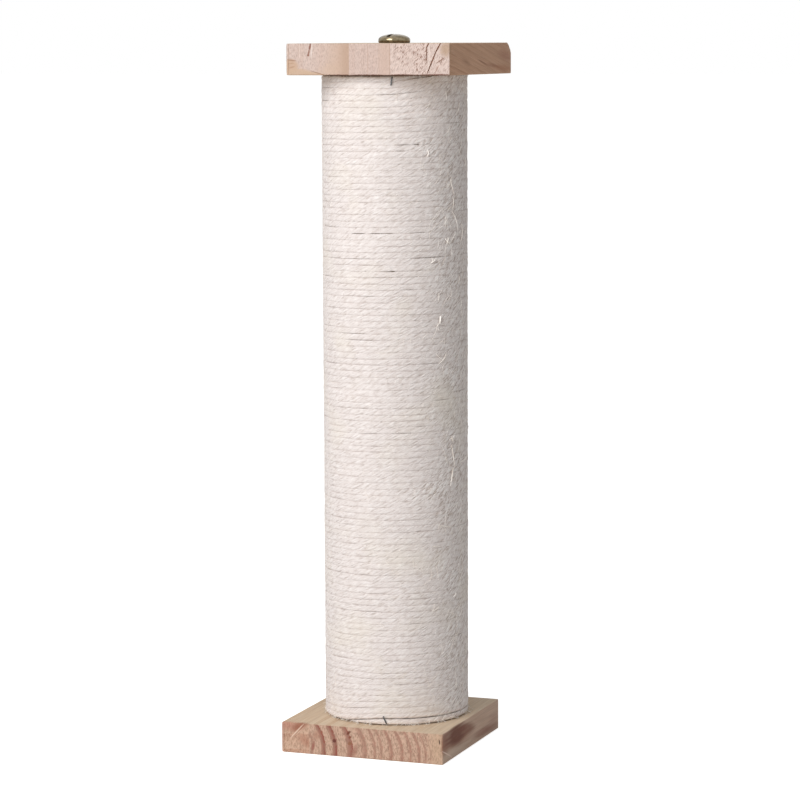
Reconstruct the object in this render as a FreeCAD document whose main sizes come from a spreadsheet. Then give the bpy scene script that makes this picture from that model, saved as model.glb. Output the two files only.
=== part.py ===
import FreeCAD, Part
import math
import os

import Sketcher
from FreeCAD import Placement, Rotation, Vector

# A cat scratching post: a rope-wound tube between two square plates of edge-glued pine, held together by a
# bolt at each end. Millimetres, +Z up. The origin is on the post's axis, on the surface that the base plate
# stands on. The end grain of the plates faces -Y and +Y, and their strips lie side by side along X.

DRIVING_SIZES = (
    # alias, value, what it is
    ("plate_width", 100.0, "both plates, along X"),
    ("plate_depth", 100.0, "both plates, along Y"),
    ("base_thickness", 18.0, "base plate"),
    ("top_thickness", 18.0, "top plate"),
    ("base_narrow_strip", 17.5, "width of the base plate's narrow strip"),
    ("top_left_strip", 39.0, "width of the top plate's left strip"),
    ("top_middle_strip", 25.0, "width of the top plate's middle strip"),
    ("base_offset_x", -2.8, "middle of the base plate, from its bolt hole"),
    ("base_offset_y", -1.6, "the same along Y"),
    ("top_offset_x", 3.05, "middle of the top plate, from its bolt hole"),
    ("top_offset_y", 1.6, "the same along Y"),
    ("top_turn", -1.7, "degrees that the top plate is turned on its bolt"),
    ("arris", 0.6, "eased outer edges of the plates"),
    ("knock_radius", 17.75, "the top plate's far right corner, rounded by a knock"),
    ("knock_inset", 12.0, "centre of that rounding, from each of the corner's faces"),
    ("knock_overcut", 0.4, "how far the cut runs out past those faces"),
    ("post_length", 375.0, "tube and winding, from plate to plate"),
    ("tube_bore", 70.0, "core tube"),
    ("tube_wall", 3.7, "core tube"),
    ("plug_thickness", 18.0, "end disc"),
    ("plug_clearance", 0.2, "disc to tube, all round"),
    ("bolt_diameter", 8.0, "shank"),
    ("bolt_length", 40.0, "under the head"),
    ("bolt_tip", 1.0, "chamfer at the shank's end"),
    ("hole_clearance", 0.5, "bolt to plate, all round"),
    ("head_diameter", 18.6, "domed head at its widest"),
    ("head_height", 5.2, "domed head"),
    ("head_seat_inset", 0.6, "how much smaller the head's seat is, all round"),
    ("head_seat_height", 1.0, "height of the bevel above the seat"),
    ("head_rim_height", 2.0, "where the dome starts"),
    ("slot_width", 2.2, "driver slot"),
    ("slot_depth", 1.7, "driver slot, below the crown"),
    ("slot_turn", 83.0, "degrees of the upper bolt's slot from X"),
    ("recess_diameter", 24.0, "counterbore under the base plate"),
    ("recess_depth", 6.5, "counterbore under the base plate"),
    ("nut_flange", 22.0, "T-nut flange diameter"),
    ("nut_flange_thickness", 1.5, "T-nut flange"),
    ("nut_barrel", 10.2, "T-nut barrel diameter"),
    ("nut_barrel_length", 9.5, "T-nut barrel"),
    ("nut_clearance", 0.15, "barrel and prongs to the disc"),
    ("thread_clearance", 0.1, "bolt to nut, all round"),
    ("prong_length", 7.0, "T-nut prong"),
    ("prong_width", 3.4, "T-nut prong at its root"),
    ("prong_thickness", 1.2, "T-nut prong"),
    ("rope_diameter", 3.15, "one turn, pressed beside its neighbours"),
    ("turn_gap", 0.45, "between neighbouring turns"),
    ("rope_seat", 0.3, "rope to tube"),
    ("plate_gap", 0.2, "first and last turn to the plates"),
    ("lower_rope_end", -95.0, "degrees round the post where the rope starts"),
    ("upper_rope_end", -60.0, "degrees round the post where it ends"),
    ("staple_wire", 0.7, "all staples"),
    ("staple_clearance", 0.1, "staple to the holes that it makes"),
    ("rope_staple_crown", 5.1, "over the rope's ends"),
    ("rope_staple_leg", 6.5, "below the crown"),
    ("rope_staple_inset", 3.3, "middle of the crown, from the plate"),
    ("lower_staple_turn", -79.0, "degrees round the post"),
    ("upper_staple_turn", -71.7, "degrees round the post"),
    ("lower_staple_lean", 24.6, "degrees off upright, top towards the left"),
    ("upper_staple_lean", -8.5, "the same"),
    ("plug_staple_crown", 10.0, "through the tube into the discs"),
    ("plug_staple_leg", 12.0, "below the crown"),
)
REAL_TURNS = 8  # turns modelled at each end of the winding; the stretch between them is plain
ROPE_SIDES = 5
ARCS_PER_TURN = 4  # two biarcs, each of half a turn
STAPLES_PER_PLUG = 4
PRONGS = 4
GAP_SAMPLES = 24  # points a turn, where the winding's gap to itself is measured
LEAST_ROPE_GAP = 0.4

doc = FreeCAD.newDocument("ScratchingPost")
sheet = doc.addObject("Spreadsheet::Sheet", "Sizes")
for row, (alias, number, meaning) in enumerate(DRIVING_SIZES, start=1):
    sheet.set(f"A{row}", meaning)
    sheet.set(f"B{row}", str(number))
    sheet.setAlias(f"B{row}", alias)
doc.recompute()

PLATE_TOP = "Sizes.base_thickness + Sizes.post_length"
TUBE_RADIUS = "(Sizes.tube_bore / 2 + Sizes.tube_wall)"
ROPE_RADIUS = f"({TUBE_RADIUS} + Sizes.rope_seat + Sizes.rope_diameter)"
PLUG_RADIUS = "(Sizes.tube_bore / 2 - Sizes.plug_clearance)"
HALF_TURN = Rotation(Vector(1, 0, 0), 180)


def value(expression):
    """The number that an expression over the sheet's sizes stands for."""
    return float(sheet.evalExpression(expression))


# Building blocks


def new_body(label):
    body = doc.addObject("PartDesign::Body", label)
    body.Label = label
    return body


def place(node, height, rotation=None, turn=None):
    """Put a node at a height on the axis, turned over by a fixed rotation or round Z by an expression."""
    node.Placement = Placement(Vector(), rotation or Rotation(Vector(0, 0, 1), 1 if turn else 0))
    node.setExpression("Placement.Base.z", height)
    if turn:
        node.setExpression("Placement.Rotation.Angle", turn)


def new_sketch(body, name, plane_role, height=None, turn=None):
    """A sketch on one of the body's origin planes, lifted off it or turned round the body's Z axis."""
    sketch = body.newObject("Sketcher::SketchObject", name)
    plane = next(item for item in body.Origin.OriginFeatures if item.Role == plane_role)
    sketch.AttachmentSupport = [(plane, "")]
    sketch.MapMode = "FlatFace"
    if height:
        sketch.setExpression("AttachmentOffset.Base.z", height)
    if turn:
        sketch.AttachmentOffset = Placement(Vector(), Rotation(Vector(0, 1, 0), 1))
        sketch.setExpression("AttachmentOffset.Rotation.Angle", turn)
    return sketch


def new_leaning_sketch(body, name, height, lean, turn="0"):
    """A sketch on an upright plane, turned round the body's Z axis, whose origin is at a height.

    It leans sideways about the line that runs from its origin away from the axis.
    """
    plane = body.newObject("PartDesign::Plane", f"{name}_plane")
    front = next(item for item in body.Origin.OriginFeatures if item.Role == "XZ_Plane")
    plane.AttachmentSupport = [(front, "")]
    plane.MapMode = "FlatFace"
    plane.AttachmentOffset = Placement(Vector(), Rotation(Vector(0, 1, 0), 1))
    plane.setExpression("AttachmentOffset.Rotation.Angle", turn)
    plane.Visibility = False
    sketch = body.newObject("Sketcher::SketchObject", name)
    sketch.AttachmentSupport = [(plane, "")]
    sketch.MapMode = "FlatFace"
    sketch.AttachmentOffset = Placement(Vector(), Rotation(Vector(1, 0, 0), 1))
    sketch.setExpression("AttachmentOffset.Base.y", height)
    sketch.setExpression("AttachmentOffset.Rotation.Angle", lean)
    return sketch


def fix_corner(sketch, geometry, across, up):
    """Hold a side's first point at two expressions, or on an axis where an expression is 0."""
    for kind, expression, axis in (("DistanceX", across, -2), ("DistanceY", up, -1)):
        if expression == "0":
            sketch.addConstraint(Sketcher.Constraint("PointOnObject", geometry, 1, axis))
            continue
        index = sketch.addConstraint(
            Sketcher.Constraint(kind, -1, 1, geometry, 1, value(expression))
        )
        sketch.setExpression(f"Constraints[{index}]", expression)


def draw_outline(sketch, corners, dome_side=None):
    """A closed outline through the corners. The dome side is an anticlockwise arc centred on the upright axis."""
    points = [Vector(value(across), value(up), 0) for across, up in corners]
    count = len(points)
    for side, start in enumerate(points):
        end = points[(side + 1) % count]
        if side != dome_side:
            sketch.addGeometry(Part.LineSegment(start, end), False)
            continue
        rise = (start.Length**2 - end.Length**2) / (2 * (start.y - end.y))
        centre = Vector(0, rise, 0)
        circle = Part.Circle(centre, Vector(0, 0, 1), (start - centre).Length)
        angles = [math.atan2((p - centre).y, (p - centre).x) for p in (start, end)]
        sketch.addGeometry(Part.ArcOfCircle(circle, *angles), False)
    for side in range(count):
        following = (side + 1) % count
        sketch.addConstraint(Sketcher.Constraint("Coincident", side, 2, following, 1))
    if dome_side is not None:
        sketch.addConstraint(Sketcher.Constraint("PointOnObject", dome_side, 3, -2))
    for side, (across, up) in enumerate(corners):
        fix_corner(sketch, side, across, up)


def draw_circle(sketch, diameter):
    """A circle round the sketch's origin."""
    circle = Part.Circle(Vector(), Vector(0, 0, 1), value(diameter) / 2)
    sketch.addGeometry(circle, False)
    sketch.addConstraint(Sketcher.Constraint("Coincident", 0, 3, -1, 1))
    index = sketch.addConstraint(Sketcher.Constraint("Diameter", 0, value(diameter)))
    sketch.setExpression(f"Constraints[{index}]", diameter)


def rectangle(left, right, low, high):
    return [(left, low), (right, low), (right, high), (left, high)]


def pad(body, sketch, length, both_ways=False):
    feature = body.newObject("PartDesign::Pad", "Pad")
    feature.Profile = sketch
    feature.setExpression("Length", length)
    if both_ways:
        feature.SideType = "Symmetric"
    sketch.Visibility = False
    return feature


def pocket(body, sketch, length=None, both_ways=False, upwards=False):
    """Cut a sketch out of the body, to a length or right through."""
    feature = body.newObject("PartDesign::Pocket", "Pocket")
    feature.Profile = sketch
    if length:
        feature.setExpression("Length", length)
    else:
        feature.Type = "ThroughAll"
    if both_ways:
        feature.SideType = "Symmetric"
    feature.Reversed = upwards
    return feature


def revolve(body, sketch):
    feature = body.newObject("PartDesign::Revolution", "Revolution")
    feature.Profile = sketch
    feature.ReferenceAxis = (sketch, ["V_Axis"])
    feature.Angle = 360
    return feature


def repeat_round_axis(body, feature, count):
    pattern = body.newObject("PartDesign::PolarPattern", "PolarPattern")
    pattern.Originals = [feature]
    pattern.Axis = (next(a for a in body.Origin.OriginFeatures if a.Role == "Z_Axis"), [""])
    pattern.Angle = 360
    pattern.Occurrences = count
    body.Tip = pattern
    return pattern


def edge_names(feature, wanted):
    """The names of the feature's edges that a test accepts."""
    doc.recompute()
    return [f"Edge{i}" for i, edge in enumerate(feature.Shape.Edges, start=1) if wanted(edge)]


def dress_edges(body, kind, feature, wanted, size_property, size_expression):
    """A chamfer or fillet on the edges that a test accepts."""
    dressing = body.newObject(f"PartDesign::{kind}", kind)
    dressing.Base = (feature, edge_names(feature, wanted))
    dressing.setExpression(size_property, size_expression)
    return dressing


# Plates


def build_stave(label, left, right, offset_y, thickness):
    """One glued strip of a plate. Its origin is the bolt hole's axis, at the plate's lower face."""
    body = new_body(label)
    low = f"{offset_y} - Sizes.plate_depth / 2"
    high = f"{offset_y} + Sizes.plate_depth / 2"
    outline = new_sketch(body, f"{label}_outline", "XY_Plane")
    draw_outline(outline, rectangle(left, right, low, high))
    return body, pad(body, outline, thickness)


def ease_arrises(body, feature, glued_sides):
    """Chamfer the strip's outer edges, and leave alone those on the sides that are glued."""
    glued = [value(side) for side in glued_sides]

    def is_outer(edge):
        if not isinstance(edge.Curve, Part.Line):
            return False
        return not any(
            all(abs(vertex.Point.x - side) < 1e-6 for vertex in edge.Vertexes) for side in glued
        )

    return dress_edges(body, "Chamfer", feature, is_outer, "Size", "Sizes.arris")


def drill_bolt_hole(body, label):
    sketch = new_sketch(body, f"{label}_bolt_hole", "XY_Plane")
    draw_circle(sketch, "Sizes.bolt_diameter + 2 * Sizes.hole_clearance")
    return pocket(body, sketch, upwards=True)


def build_base_plate():
    left = "Sizes.base_offset_x - Sizes.plate_width / 2"
    joint = f"{left} + Sizes.base_narrow_strip"
    right = "Sizes.base_offset_x + Sizes.plate_width / 2"
    narrow, block = build_stave(
        "base_stave_narrow", left, joint, "Sizes.base_offset_y", "Sizes.base_thickness"
    )
    ease_arrises(narrow, block, [joint])
    wide, block = build_stave(
        "base_stave_wide", joint, right, "Sizes.base_offset_y", "Sizes.base_thickness"
    )
    ease_arrises(wide, block, [joint])
    drill_bolt_hole(wide, "base")
    recess = new_sketch(wide, "base_head_recess", "XY_Plane")
    draw_circle(recess, "Sizes.recess_diameter")
    pocket(wide, recess, "Sizes.recess_depth", upwards=True)
    return [narrow, wide]


def knock_corner(body, right):
    """Round the strip's far upper corner to a ball, as left by a knock."""
    inset = "Sizes.knock_inset"
    high = f"({inset} + Sizes.knock_overcut)"
    reach = f"(sqrt(2) * {inset} + Sizes.knock_overcut)"
    outline = body.newObject("Sketcher::SketchObject", "knock_outline")
    front = next(item for item in body.Origin.OriginFeatures if item.Role == "XZ_Plane")
    outline.AttachmentSupport = [(front, "")]
    outline.MapMode = "FlatFace"
    outline.setExpression("AttachmentOffset.Base.x", f"{right} - {inset}")
    outline.setExpression("AttachmentOffset.Base.y", f"Sizes.top_thickness - {inset}")
    outline.setExpression(
        "AttachmentOffset.Base.z", f"{inset} - Sizes.top_offset_y - Sizes.plate_depth / 2"
    )
    corners = [
        (reach, f"sqrt(Sizes.knock_radius^2 - {reach}^2)"),
        (f"sqrt(Sizes.knock_radius^2 - {high}^2)", high),
        (f"{reach} + Sizes.knock_overcut", high),
        (f"{reach} + Sizes.knock_overcut", f"sqrt(Sizes.knock_radius^2 - {reach}^2)"),
    ]
    draw_outline(outline, corners, dome_side=0)
    groove = body.newObject("PartDesign::Groove", "knocked_corner")
    groove.Profile = outline
    groove.ReferenceAxis = (outline, ["V_Axis"])
    groove.Angle = 90
    outline.Visibility = False


def build_top_plate():
    left = "Sizes.top_offset_x - Sizes.plate_width / 2"
    first_joint = f"{left} + Sizes.top_left_strip"
    second_joint = f"{first_joint} + Sizes.top_middle_strip"
    right = "Sizes.top_offset_x + Sizes.plate_width / 2"
    strips = (
        ("top_stave_left", left, first_joint, [first_joint]),
        ("top_stave_middle", first_joint, second_joint, [first_joint, second_joint]),
        ("top_stave_right", second_joint, right, [second_joint]),
    )
    staves = []
    for label, low, high, glued in strips:
        body, block = build_stave(label, low, high, "Sizes.top_offset_y", "Sizes.top_thickness")
        ease_arrises(body, block, glued)
        if label == "top_stave_middle":
            drill_bolt_hole(body, "top")
        if label == "top_stave_right":
            knock_corner(body, right)
        place(body, PLATE_TOP, turn="Sizes.top_turn")
        staves.append(body)
    return staves


# Staples


def staple_outline(crown_face, crown, leg, middle, clearance="0"):
    """A staple seen from the side: its crown upright at a radius, and its legs towards the post's axis."""
    outer = f"{crown_face} + {clearance}"
    inner = f"{crown_face} - Sizes.staple_wire - {clearance}"
    tip = f"{crown_face} - Sizes.staple_wire - {leg} - {clearance}"
    low = f"{middle} - {crown} / 2 - {clearance}"
    high = f"{middle} + {crown} / 2 + {clearance}"
    above_low = f"{middle} - {crown} / 2 + Sizes.staple_wire + {clearance}"
    below_high = f"{middle} + {crown} / 2 - Sizes.staple_wire - {clearance}"
    return [
        (tip, low),
        (outer, low),
        (outer, high),
        (tip, high),
        (tip, below_high),
        (inner, below_high),
        (inner, above_low),
        (tip, above_low),
    ]


PLUG_STAPLE = (TUBE_RADIUS, "Sizes.plug_staple_crown", "Sizes.plug_staple_leg")
ROPE_STAPLE_FACE = f"({ROPE_RADIUS} + Sizes.staple_clearance + Sizes.staple_wire)"
ROPE_STAPLE = (ROPE_STAPLE_FACE, "Sizes.rope_staple_crown", "Sizes.rope_staple_leg")
HOLE_WIDTH = "Sizes.staple_wire + 2 * Sizes.staple_clearance"
LOWER_STAPLE = ("Sizes.rope_staple_inset", "Sizes.lower_staple_lean", "Sizes.lower_staple_turn")
UPPER_STAPLE = (
    "(Sizes.post_length - Sizes.rope_staple_inset)",
    "Sizes.upper_staple_lean",
    "Sizes.upper_staple_turn",
)


def build_rope_staple(label, inset, lean, turn):
    """The staple over an end of the rope, in a body whose origin is on the base plate's upper face."""
    body = new_body(label)
    sketch = new_leaning_sketch(body, f"{label}_wire", inset, lean)
    draw_outline(sketch, staple_outline(*ROPE_STAPLE, "0"))
    wire = pad(body, sketch, "Sizes.staple_wire", both_ways=True)
    outer_face = value(ROPE_STAPLE_FACE)
    wire_width = value("Sizes.staple_wire")

    def is_bend(edge):
        on_face = all(abs(vertex.Point.x - outer_face) < 1e-6 for vertex in edge.Vertexes)
        return on_face and abs(edge.Length - wire_width) < 1e-6

    dress_edges(body, "Fillet", wire, is_bend, "Radius", "0.7 * Sizes.staple_wire")
    place(body, "Sizes.base_thickness", turn=turn)
    return body


def build_plug_staples(label, height, rotation=None):
    """The ring of staples through the tube into an end disc, in a body whose origin is on the plate's face."""
    body = new_body(label)
    body.AllowCompound = True
    sketch = new_sketch(body, f"{label}_wire", "XZ_Plane")
    draw_outline(sketch, staple_outline(*PLUG_STAPLE, "Sizes.plug_thickness / 2"))
    wire = pad(body, sketch, "Sizes.staple_wire", both_ways=True)
    repeat_round_axis(body, wire, STAPLES_PER_PLUG)
    place(body, height, rotation)
    return body


def cut_plug_staple_holes(body, label, middle):
    sketch = new_sketch(body, f"{label}_staple_holes", "XZ_Plane")
    draw_outline(sketch, staple_outline(*PLUG_STAPLE, middle, "Sizes.staple_clearance"))
    hole = pocket(body, sketch, HOLE_WIDTH, both_ways=True)
    return repeat_round_axis(body, hole, STAPLES_PER_PLUG)


# Post core


def build_core_tube():
    body = new_body("core_tube")
    sketch = new_sketch(body, "core_tube_wall", "XZ_Plane")
    outer = f"{TUBE_RADIUS}"
    draw_outline(sketch, rectangle("Sizes.tube_bore / 2", outer, "0", "Sizes.post_length"))
    revolve(body, sketch)
    cut_plug_staple_holes(body, "lower", "Sizes.plug_thickness / 2")
    cut_plug_staple_holes(body, "upper", "(Sizes.post_length - Sizes.plug_thickness / 2)")
    for staple in (LOWER_STAPLE, UPPER_STAPLE):
        hole = new_leaning_sketch(body, "rope_staple_holes", *staple)
        draw_outline(hole, staple_outline(*ROPE_STAPLE, "0", "Sizes.staple_clearance"))
        pocket(body, hole, HOLE_WIDTH, both_ways=True)
    place(body, "Sizes.base_thickness")
    return body


def build_plug(label, height, rotation=None):
    """An end disc. Its origin is on the face that lies on the plate, and its T-nut is on the other face."""
    body = new_body(label)
    sketch = new_sketch(body, f"{label}_disc", "XZ_Plane")
    bore = "Sizes.nut_barrel / 2 + Sizes.nut_clearance"
    draw_outline(sketch, rectangle(bore, PLUG_RADIUS, "0", "Sizes.plug_thickness"))
    revolve(body, sketch)
    prong = new_sketch(body, f"{label}_prong_slot", "XZ_Plane")
    draw_outline(
        prong,
        rectangle(
            "Sizes.nut_flange / 2 - Sizes.prong_thickness - Sizes.nut_clearance",
            "Sizes.nut_flange / 2 + Sizes.nut_clearance",
            "Sizes.plug_thickness - Sizes.prong_length - Sizes.nut_clearance",
            "Sizes.plug_thickness",
        ),
    )
    slot = pocket(body, prong, "Sizes.prong_width + 2 * Sizes.nut_clearance", both_ways=True)
    repeat_round_axis(body, slot, PRONGS)
    cut_plug_staple_holes(body, label, "Sizes.plug_thickness / 2")
    place(body, height, rotation)
    return body


# Fasteners


def build_t_nut(label, height, rotation=None):
    """A pronged nut. Its origin is on the flange's face that lies against the disc, and its barrel points up."""
    body = new_body(label)
    sketch = new_sketch(body, f"{label}_profile", "XZ_Plane")
    bore = "Sizes.bolt_diameter / 2 + Sizes.thread_clearance"
    draw_outline(
        sketch,
        [
            (bore, "-Sizes.nut_flange_thickness"),
            ("Sizes.nut_flange / 2", "-Sizes.nut_flange_thickness"),
            ("Sizes.nut_flange / 2", "0"),
            ("Sizes.nut_barrel / 2", "0"),
            ("Sizes.nut_barrel / 2", "Sizes.nut_barrel_length"),
            (bore, "Sizes.nut_barrel_length"),
        ],
    )
    revolve(body, sketch)
    prong = new_sketch(body, f"{label}_prong", "YZ_Plane", height="Sizes.nut_flange / 2")
    root = "-Sizes.nut_flange_thickness"
    half = "Sizes.prong_width / 2"
    draw_outline(
        prong,
        [
            (f"-{half}", root),
            (half, root),
            (half, "Sizes.prong_length / 2"),
            ("0", "Sizes.prong_length"),
            (f"-{half}", "Sizes.prong_length / 2"),
        ],
    )
    blade = pad(body, prong, "Sizes.prong_thickness")
    blade.Reversed = True
    repeat_round_axis(body, blade, PRONGS)
    place(body, height, rotation)
    return body


def build_bolt(label, height, rotation=None, turn=None):
    """A domed slotted bolt. Its origin is on the seat under the head, and its head points up."""
    body = new_body(label)
    sketch = new_sketch(body, f"{label}_profile", "XZ_Plane")
    head = "Sizes.head_diameter / 2"
    shank = "Sizes.bolt_diameter / 2"
    corners = [
        ("0", "-Sizes.bolt_length"),
        (f"{shank} - Sizes.bolt_tip", "-Sizes.bolt_length"),
        (shank, "-Sizes.bolt_length + Sizes.bolt_tip"),
        (shank, "0"),
        (f"{head} - Sizes.head_seat_inset", "0"),
        (head, "Sizes.head_seat_height"),
        (head, "Sizes.head_rim_height"),
        ("0", "Sizes.head_height"),
    ]
    draw_outline(sketch, corners, dome_side=6)
    revolve(body, sketch)
    slot = new_sketch(
        body, f"{label}_slot", "XY_Plane", height="Sizes.head_height - Sizes.slot_depth"
    )
    half_width = "Sizes.slot_width / 2"
    draw_outline(slot, rectangle(f"-{head}", head, f"-{half_width}", half_width))
    pocket(body, slot, upwards=True)
    place(body, height, rotation, turn)
    return body


# Rope


def helix_point(radius, pitch, start, angle):
    """The winding's centre line: a point at an angle from the start, given as (height, azimuth)."""
    height, azimuth = start
    return Vector(
        radius * math.cos(azimuth + angle),
        radius * math.sin(azimuth + angle),
        height + pitch * angle / (2 * math.pi),
    )


def helix_tangent(radius, pitch, start, angle):
    azimuth = start[1] + angle
    along = Vector(-radius * math.sin(azimuth), radius * math.cos(azimuth), pitch / (2 * math.pi))
    return along.normalize()


def arc_from_tangent(start, tangent, end):
    """The arc that leaves a point along a tangent and ends at another point."""
    chord = end - start
    turn = math.acos(tangent.dot(chord) / chord.Length)
    outward = (tangent - chord * (tangent.dot(chord) / chord.Length**2)).normalize()
    crest = start + chord * 0.5 + outward * (chord.Length / 2 * math.tan(turn / 2))
    return Part.Arc(start, crest, end).toShape()


def biarc(start, start_tangent, end, end_tangent):
    """Two arcs that join smoothly, from a point and tangent to a point and tangent."""
    chord = end - start
    both = start_tangent + end_tangent
    square = 2 * (start_tangent.dot(end_tangent) - 1)
    linear = -2 * chord.dot(both)
    root = math.sqrt(linear**2 - 4 * square * chord.dot(chord))
    reach = max((-linear - root) / (2 * square), (-linear + root) / (2 * square))
    before = start + start_tangent * reach
    after = end - end_tangent * reach
    middle = (before + after) * 0.5
    along = (after - before).normalize()
    return [arc_from_tangent(start, start_tangent, middle), arc_from_tangent(middle, along, end)]


def wound_turns(radius, pitch, start, turns, diameter):
    """A right-handed winding as one tube, with a straight end one diameter long at both ends."""
    step = 4 * math.pi / ARCS_PER_TURN
    first_point = helix_point(radius, pitch, start, 0)
    first_tangent = helix_tangent(radius, pitch, start, 0)
    entry = first_point - first_tangent * diameter
    edges = [Part.LineSegment(entry, first_point).toShape()]
    for index in range(turns * ARCS_PER_TURN // 2):
        angles = (index * step, (index + 1) * step)
        points = [helix_point(radius, pitch, start, angle) for angle in angles]
        tangents = [helix_tangent(radius, pitch, start, angle) for angle in angles]
        edges += biarc(points[0], tangents[0], points[1], tangents[1])
    last_point = helix_point(radius, pitch, start, turns * 2 * math.pi)
    last_tangent = helix_tangent(radius, pitch, start, turns * 2 * math.pi)
    edges.append(Part.LineSegment(last_point, last_point + last_tangent * diameter).toShape())
    path = Part.Wire(edges)
    outward = Vector(first_point.x, first_point.y, 0).normalize()
    upward = first_tangent.cross(outward)
    corners = []
    for side in range(ROPE_SIDES + 1):
        angle = 2 * math.pi * (side % ROPE_SIDES + 0.5) / ROPE_SIDES
        reach = outward * math.cos(angle) + upward * math.sin(angle)
        corners.append(entry + reach * (diameter / 2))
    section = Part.makePolygon(corners)
    tube = path.makePipeShell([section], True, False)
    expected = Part.Face(section).Area * path.Length
    print(f"turns: {turns}, volume / (section x length) = {tube.Volume / expected:.5f}")
    return tube


def least_gap_to_itself(radius, pitch, turns, diameter):
    """The smallest space between turns, from points of the centre line at least half a turn apart."""
    count = turns * GAP_SAMPLES
    points = [
        helix_point(radius, pitch, (0, 0), 2 * math.pi * i / GAP_SAMPLES) for i in range(count + 1)
    ]
    apart = GAP_SAMPLES // 2
    return min(
        (points[i] - points[j]).Length - diameter
        for i in range(len(points))
        for j in range(i + apart, min(i + 3 * apart + 1, len(points)))
    )


def staple_hole(inset, lean, turn):
    """The space that a rope staple fills, with its clearance, as a solid to cut out of the rope."""
    corners = [
        Vector(value(across), 0, value(up))
        for across, up in staple_outline(*ROPE_STAPLE, "0", "Sizes.staple_clearance")
    ]
    width = value(HOLE_WIDTH)
    face = Part.Face(Part.makePolygon(corners + corners[:1]))
    face.translate(Vector(0, -width / 2, 0))
    solid = face.extrude(Vector(0, width, 0))
    solid.rotate(Vector(), Vector(1, 0, 0), value(lean))
    solid.rotate(Vector(), Vector(0, 0, 1), value(turn))
    solid.translate(Vector(0, 0, value(f"Sizes.base_thickness + {inset}")))
    return solid


def build_rope():
    """The winding: real turns at both ends, and the plain stretch between them, from the same sizes."""
    diameter = value("Sizes.rope_diameter")
    gap = value("Sizes.turn_gap")
    pitch = diameter + gap
    radius = value(ROPE_RADIUS) - diameter / 2
    wound = REAL_TURNS * pitch
    first = value("Sizes.base_thickness + Sizes.plate_gap") + diameter / 2
    last = value(f"{PLATE_TOP} - Sizes.plate_gap") - diameter / 2
    lower_start = (first, math.radians(value("Sizes.lower_rope_end")))
    upper_start = (last - wound, math.radians(value("Sizes.upper_rope_end")))
    lower = wound_turns(radius, pitch, lower_start, REAL_TURNS, diameter)
    upper = wound_turns(radius, pitch, upper_start, REAL_TURNS, diameter)
    lower = lower.cut(staple_hole(*LOWER_STAPLE))
    upper = upper.cut(staple_hole(*UPPER_STAPLE))
    plain_low = first + wound + diameter / 2 + gap
    plain_length = last - wound - diameter / 2 - gap - plain_low
    outside = Part.makeCylinder(radius + diameter / 2, plain_length, Vector(0, 0, plain_low))
    inside = Part.makeCylinder(radius - diameter / 2, plain_length, Vector(0, 0, plain_low))
    stretches = [solid for shape in (lower, outside.cut(inside), upper) for solid in shape.Solids]
    rope = doc.addObject("Part::Feature", "sisal_rope")
    rope.Label = "sisal_rope"
    rope.Shape = Part.makeCompound(stretches)
    least = least_gap_to_itself(radius, pitch, REAL_TURNS, diameter)
    all_turns = value("Sizes.post_length") / pitch
    metres = all_turns * math.hypot(2 * math.pi * radius, pitch) / 1000
    print(f"rope's least gap to itself: {least:.3f} mm")
    print(f"real winding: {all_turns:.0f} turns, {metres:.1f} m of rope")
    if least <= LEAST_ROPE_GAP:
        raise ValueError("the rope's turns are too close to each other")
    return rope


def group(label, members):
    """Identical fasteners as one sub-part of separate solids."""
    node = doc.addObject("Part::Compound", label)
    node.Label = label
    node.Links = members
    return node


def build_fasteners():
    """The two bolts and the two nuts that they pull on."""
    top_face = f"{PLATE_TOP} + Sizes.top_thickness"
    lower_bolt = build_bolt("lower_bolt", "Sizes.recess_depth", HALF_TURN)
    upper_bolt = build_bolt("upper_bolt", top_face, turn="Sizes.slot_turn")
    inner_low = "Sizes.base_thickness + Sizes.plug_thickness"
    inner_high = f"{PLATE_TOP} - Sizes.plug_thickness"
    lower_nut = build_t_nut("lower_t_nut", inner_low, HALF_TURN)
    upper_nut = build_t_nut("upper_t_nut", inner_high)
    return [group("bolts", [lower_bolt, upper_bolt]), group("t_nuts", [lower_nut, upper_nut])]


def build_post():
    """Every sub-part of the post, in the order of assembly."""
    nodes = build_base_plate()
    nodes.append(build_plug("lower_plug", "Sizes.base_thickness"))
    nodes.append(build_core_tube())
    nodes.append(build_plug_staples("lower_plug_staples", "Sizes.base_thickness"))
    nodes.append(build_plug("upper_plug", PLATE_TOP, HALF_TURN))
    nodes.append(build_plug_staples("upper_plug_staples", PLATE_TOP, HALF_TURN))
    nodes.append(build_rope())
    nodes.append(build_rope_staple("lower_rope_staple", *LOWER_STAPLE))
    nodes.append(build_rope_staple("upper_rope_staple", *UPPER_STAPLE))
    nodes += build_top_plate()
    nodes += build_fasteners()
    return nodes


def check(nodes):
    """Stop unless every object recomputed and every sub-part is a valid shape."""
    failed = [o.Label for o in doc.Objects if {"Invalid", "Error"} & set(o.State)]
    if failed:
        raise RuntimeError(f"failed objects: {failed}")
    for node in nodes:
        if node.Shape.isNull() or not node.Shape.isValid() or not node.Shape.Solids:
            raise RuntimeError(f"{node.Label} is not a valid solid")


parts = build_post()
doc.recompute()
check(parts)
os.makedirs("parts", exist_ok=True)
for part in parts:
    part.Shape.exportStep(f"parts/{part.Label}.step")
    print(f"{part.Label}: {len(part.Shape.Solids)} solid(s), {part.Shape.Volume:.0f} mm3")
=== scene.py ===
"""The looks of a cat scratching post: a sisal-wound tube between two pine plates.

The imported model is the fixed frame. The plates' strips, the winding, the bolts and the rope's
staples are replaced by fuller pieces, and the rest keeps its solid and gets a finish.
Sizes are millimetres until they reach a mesh.
"""

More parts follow.
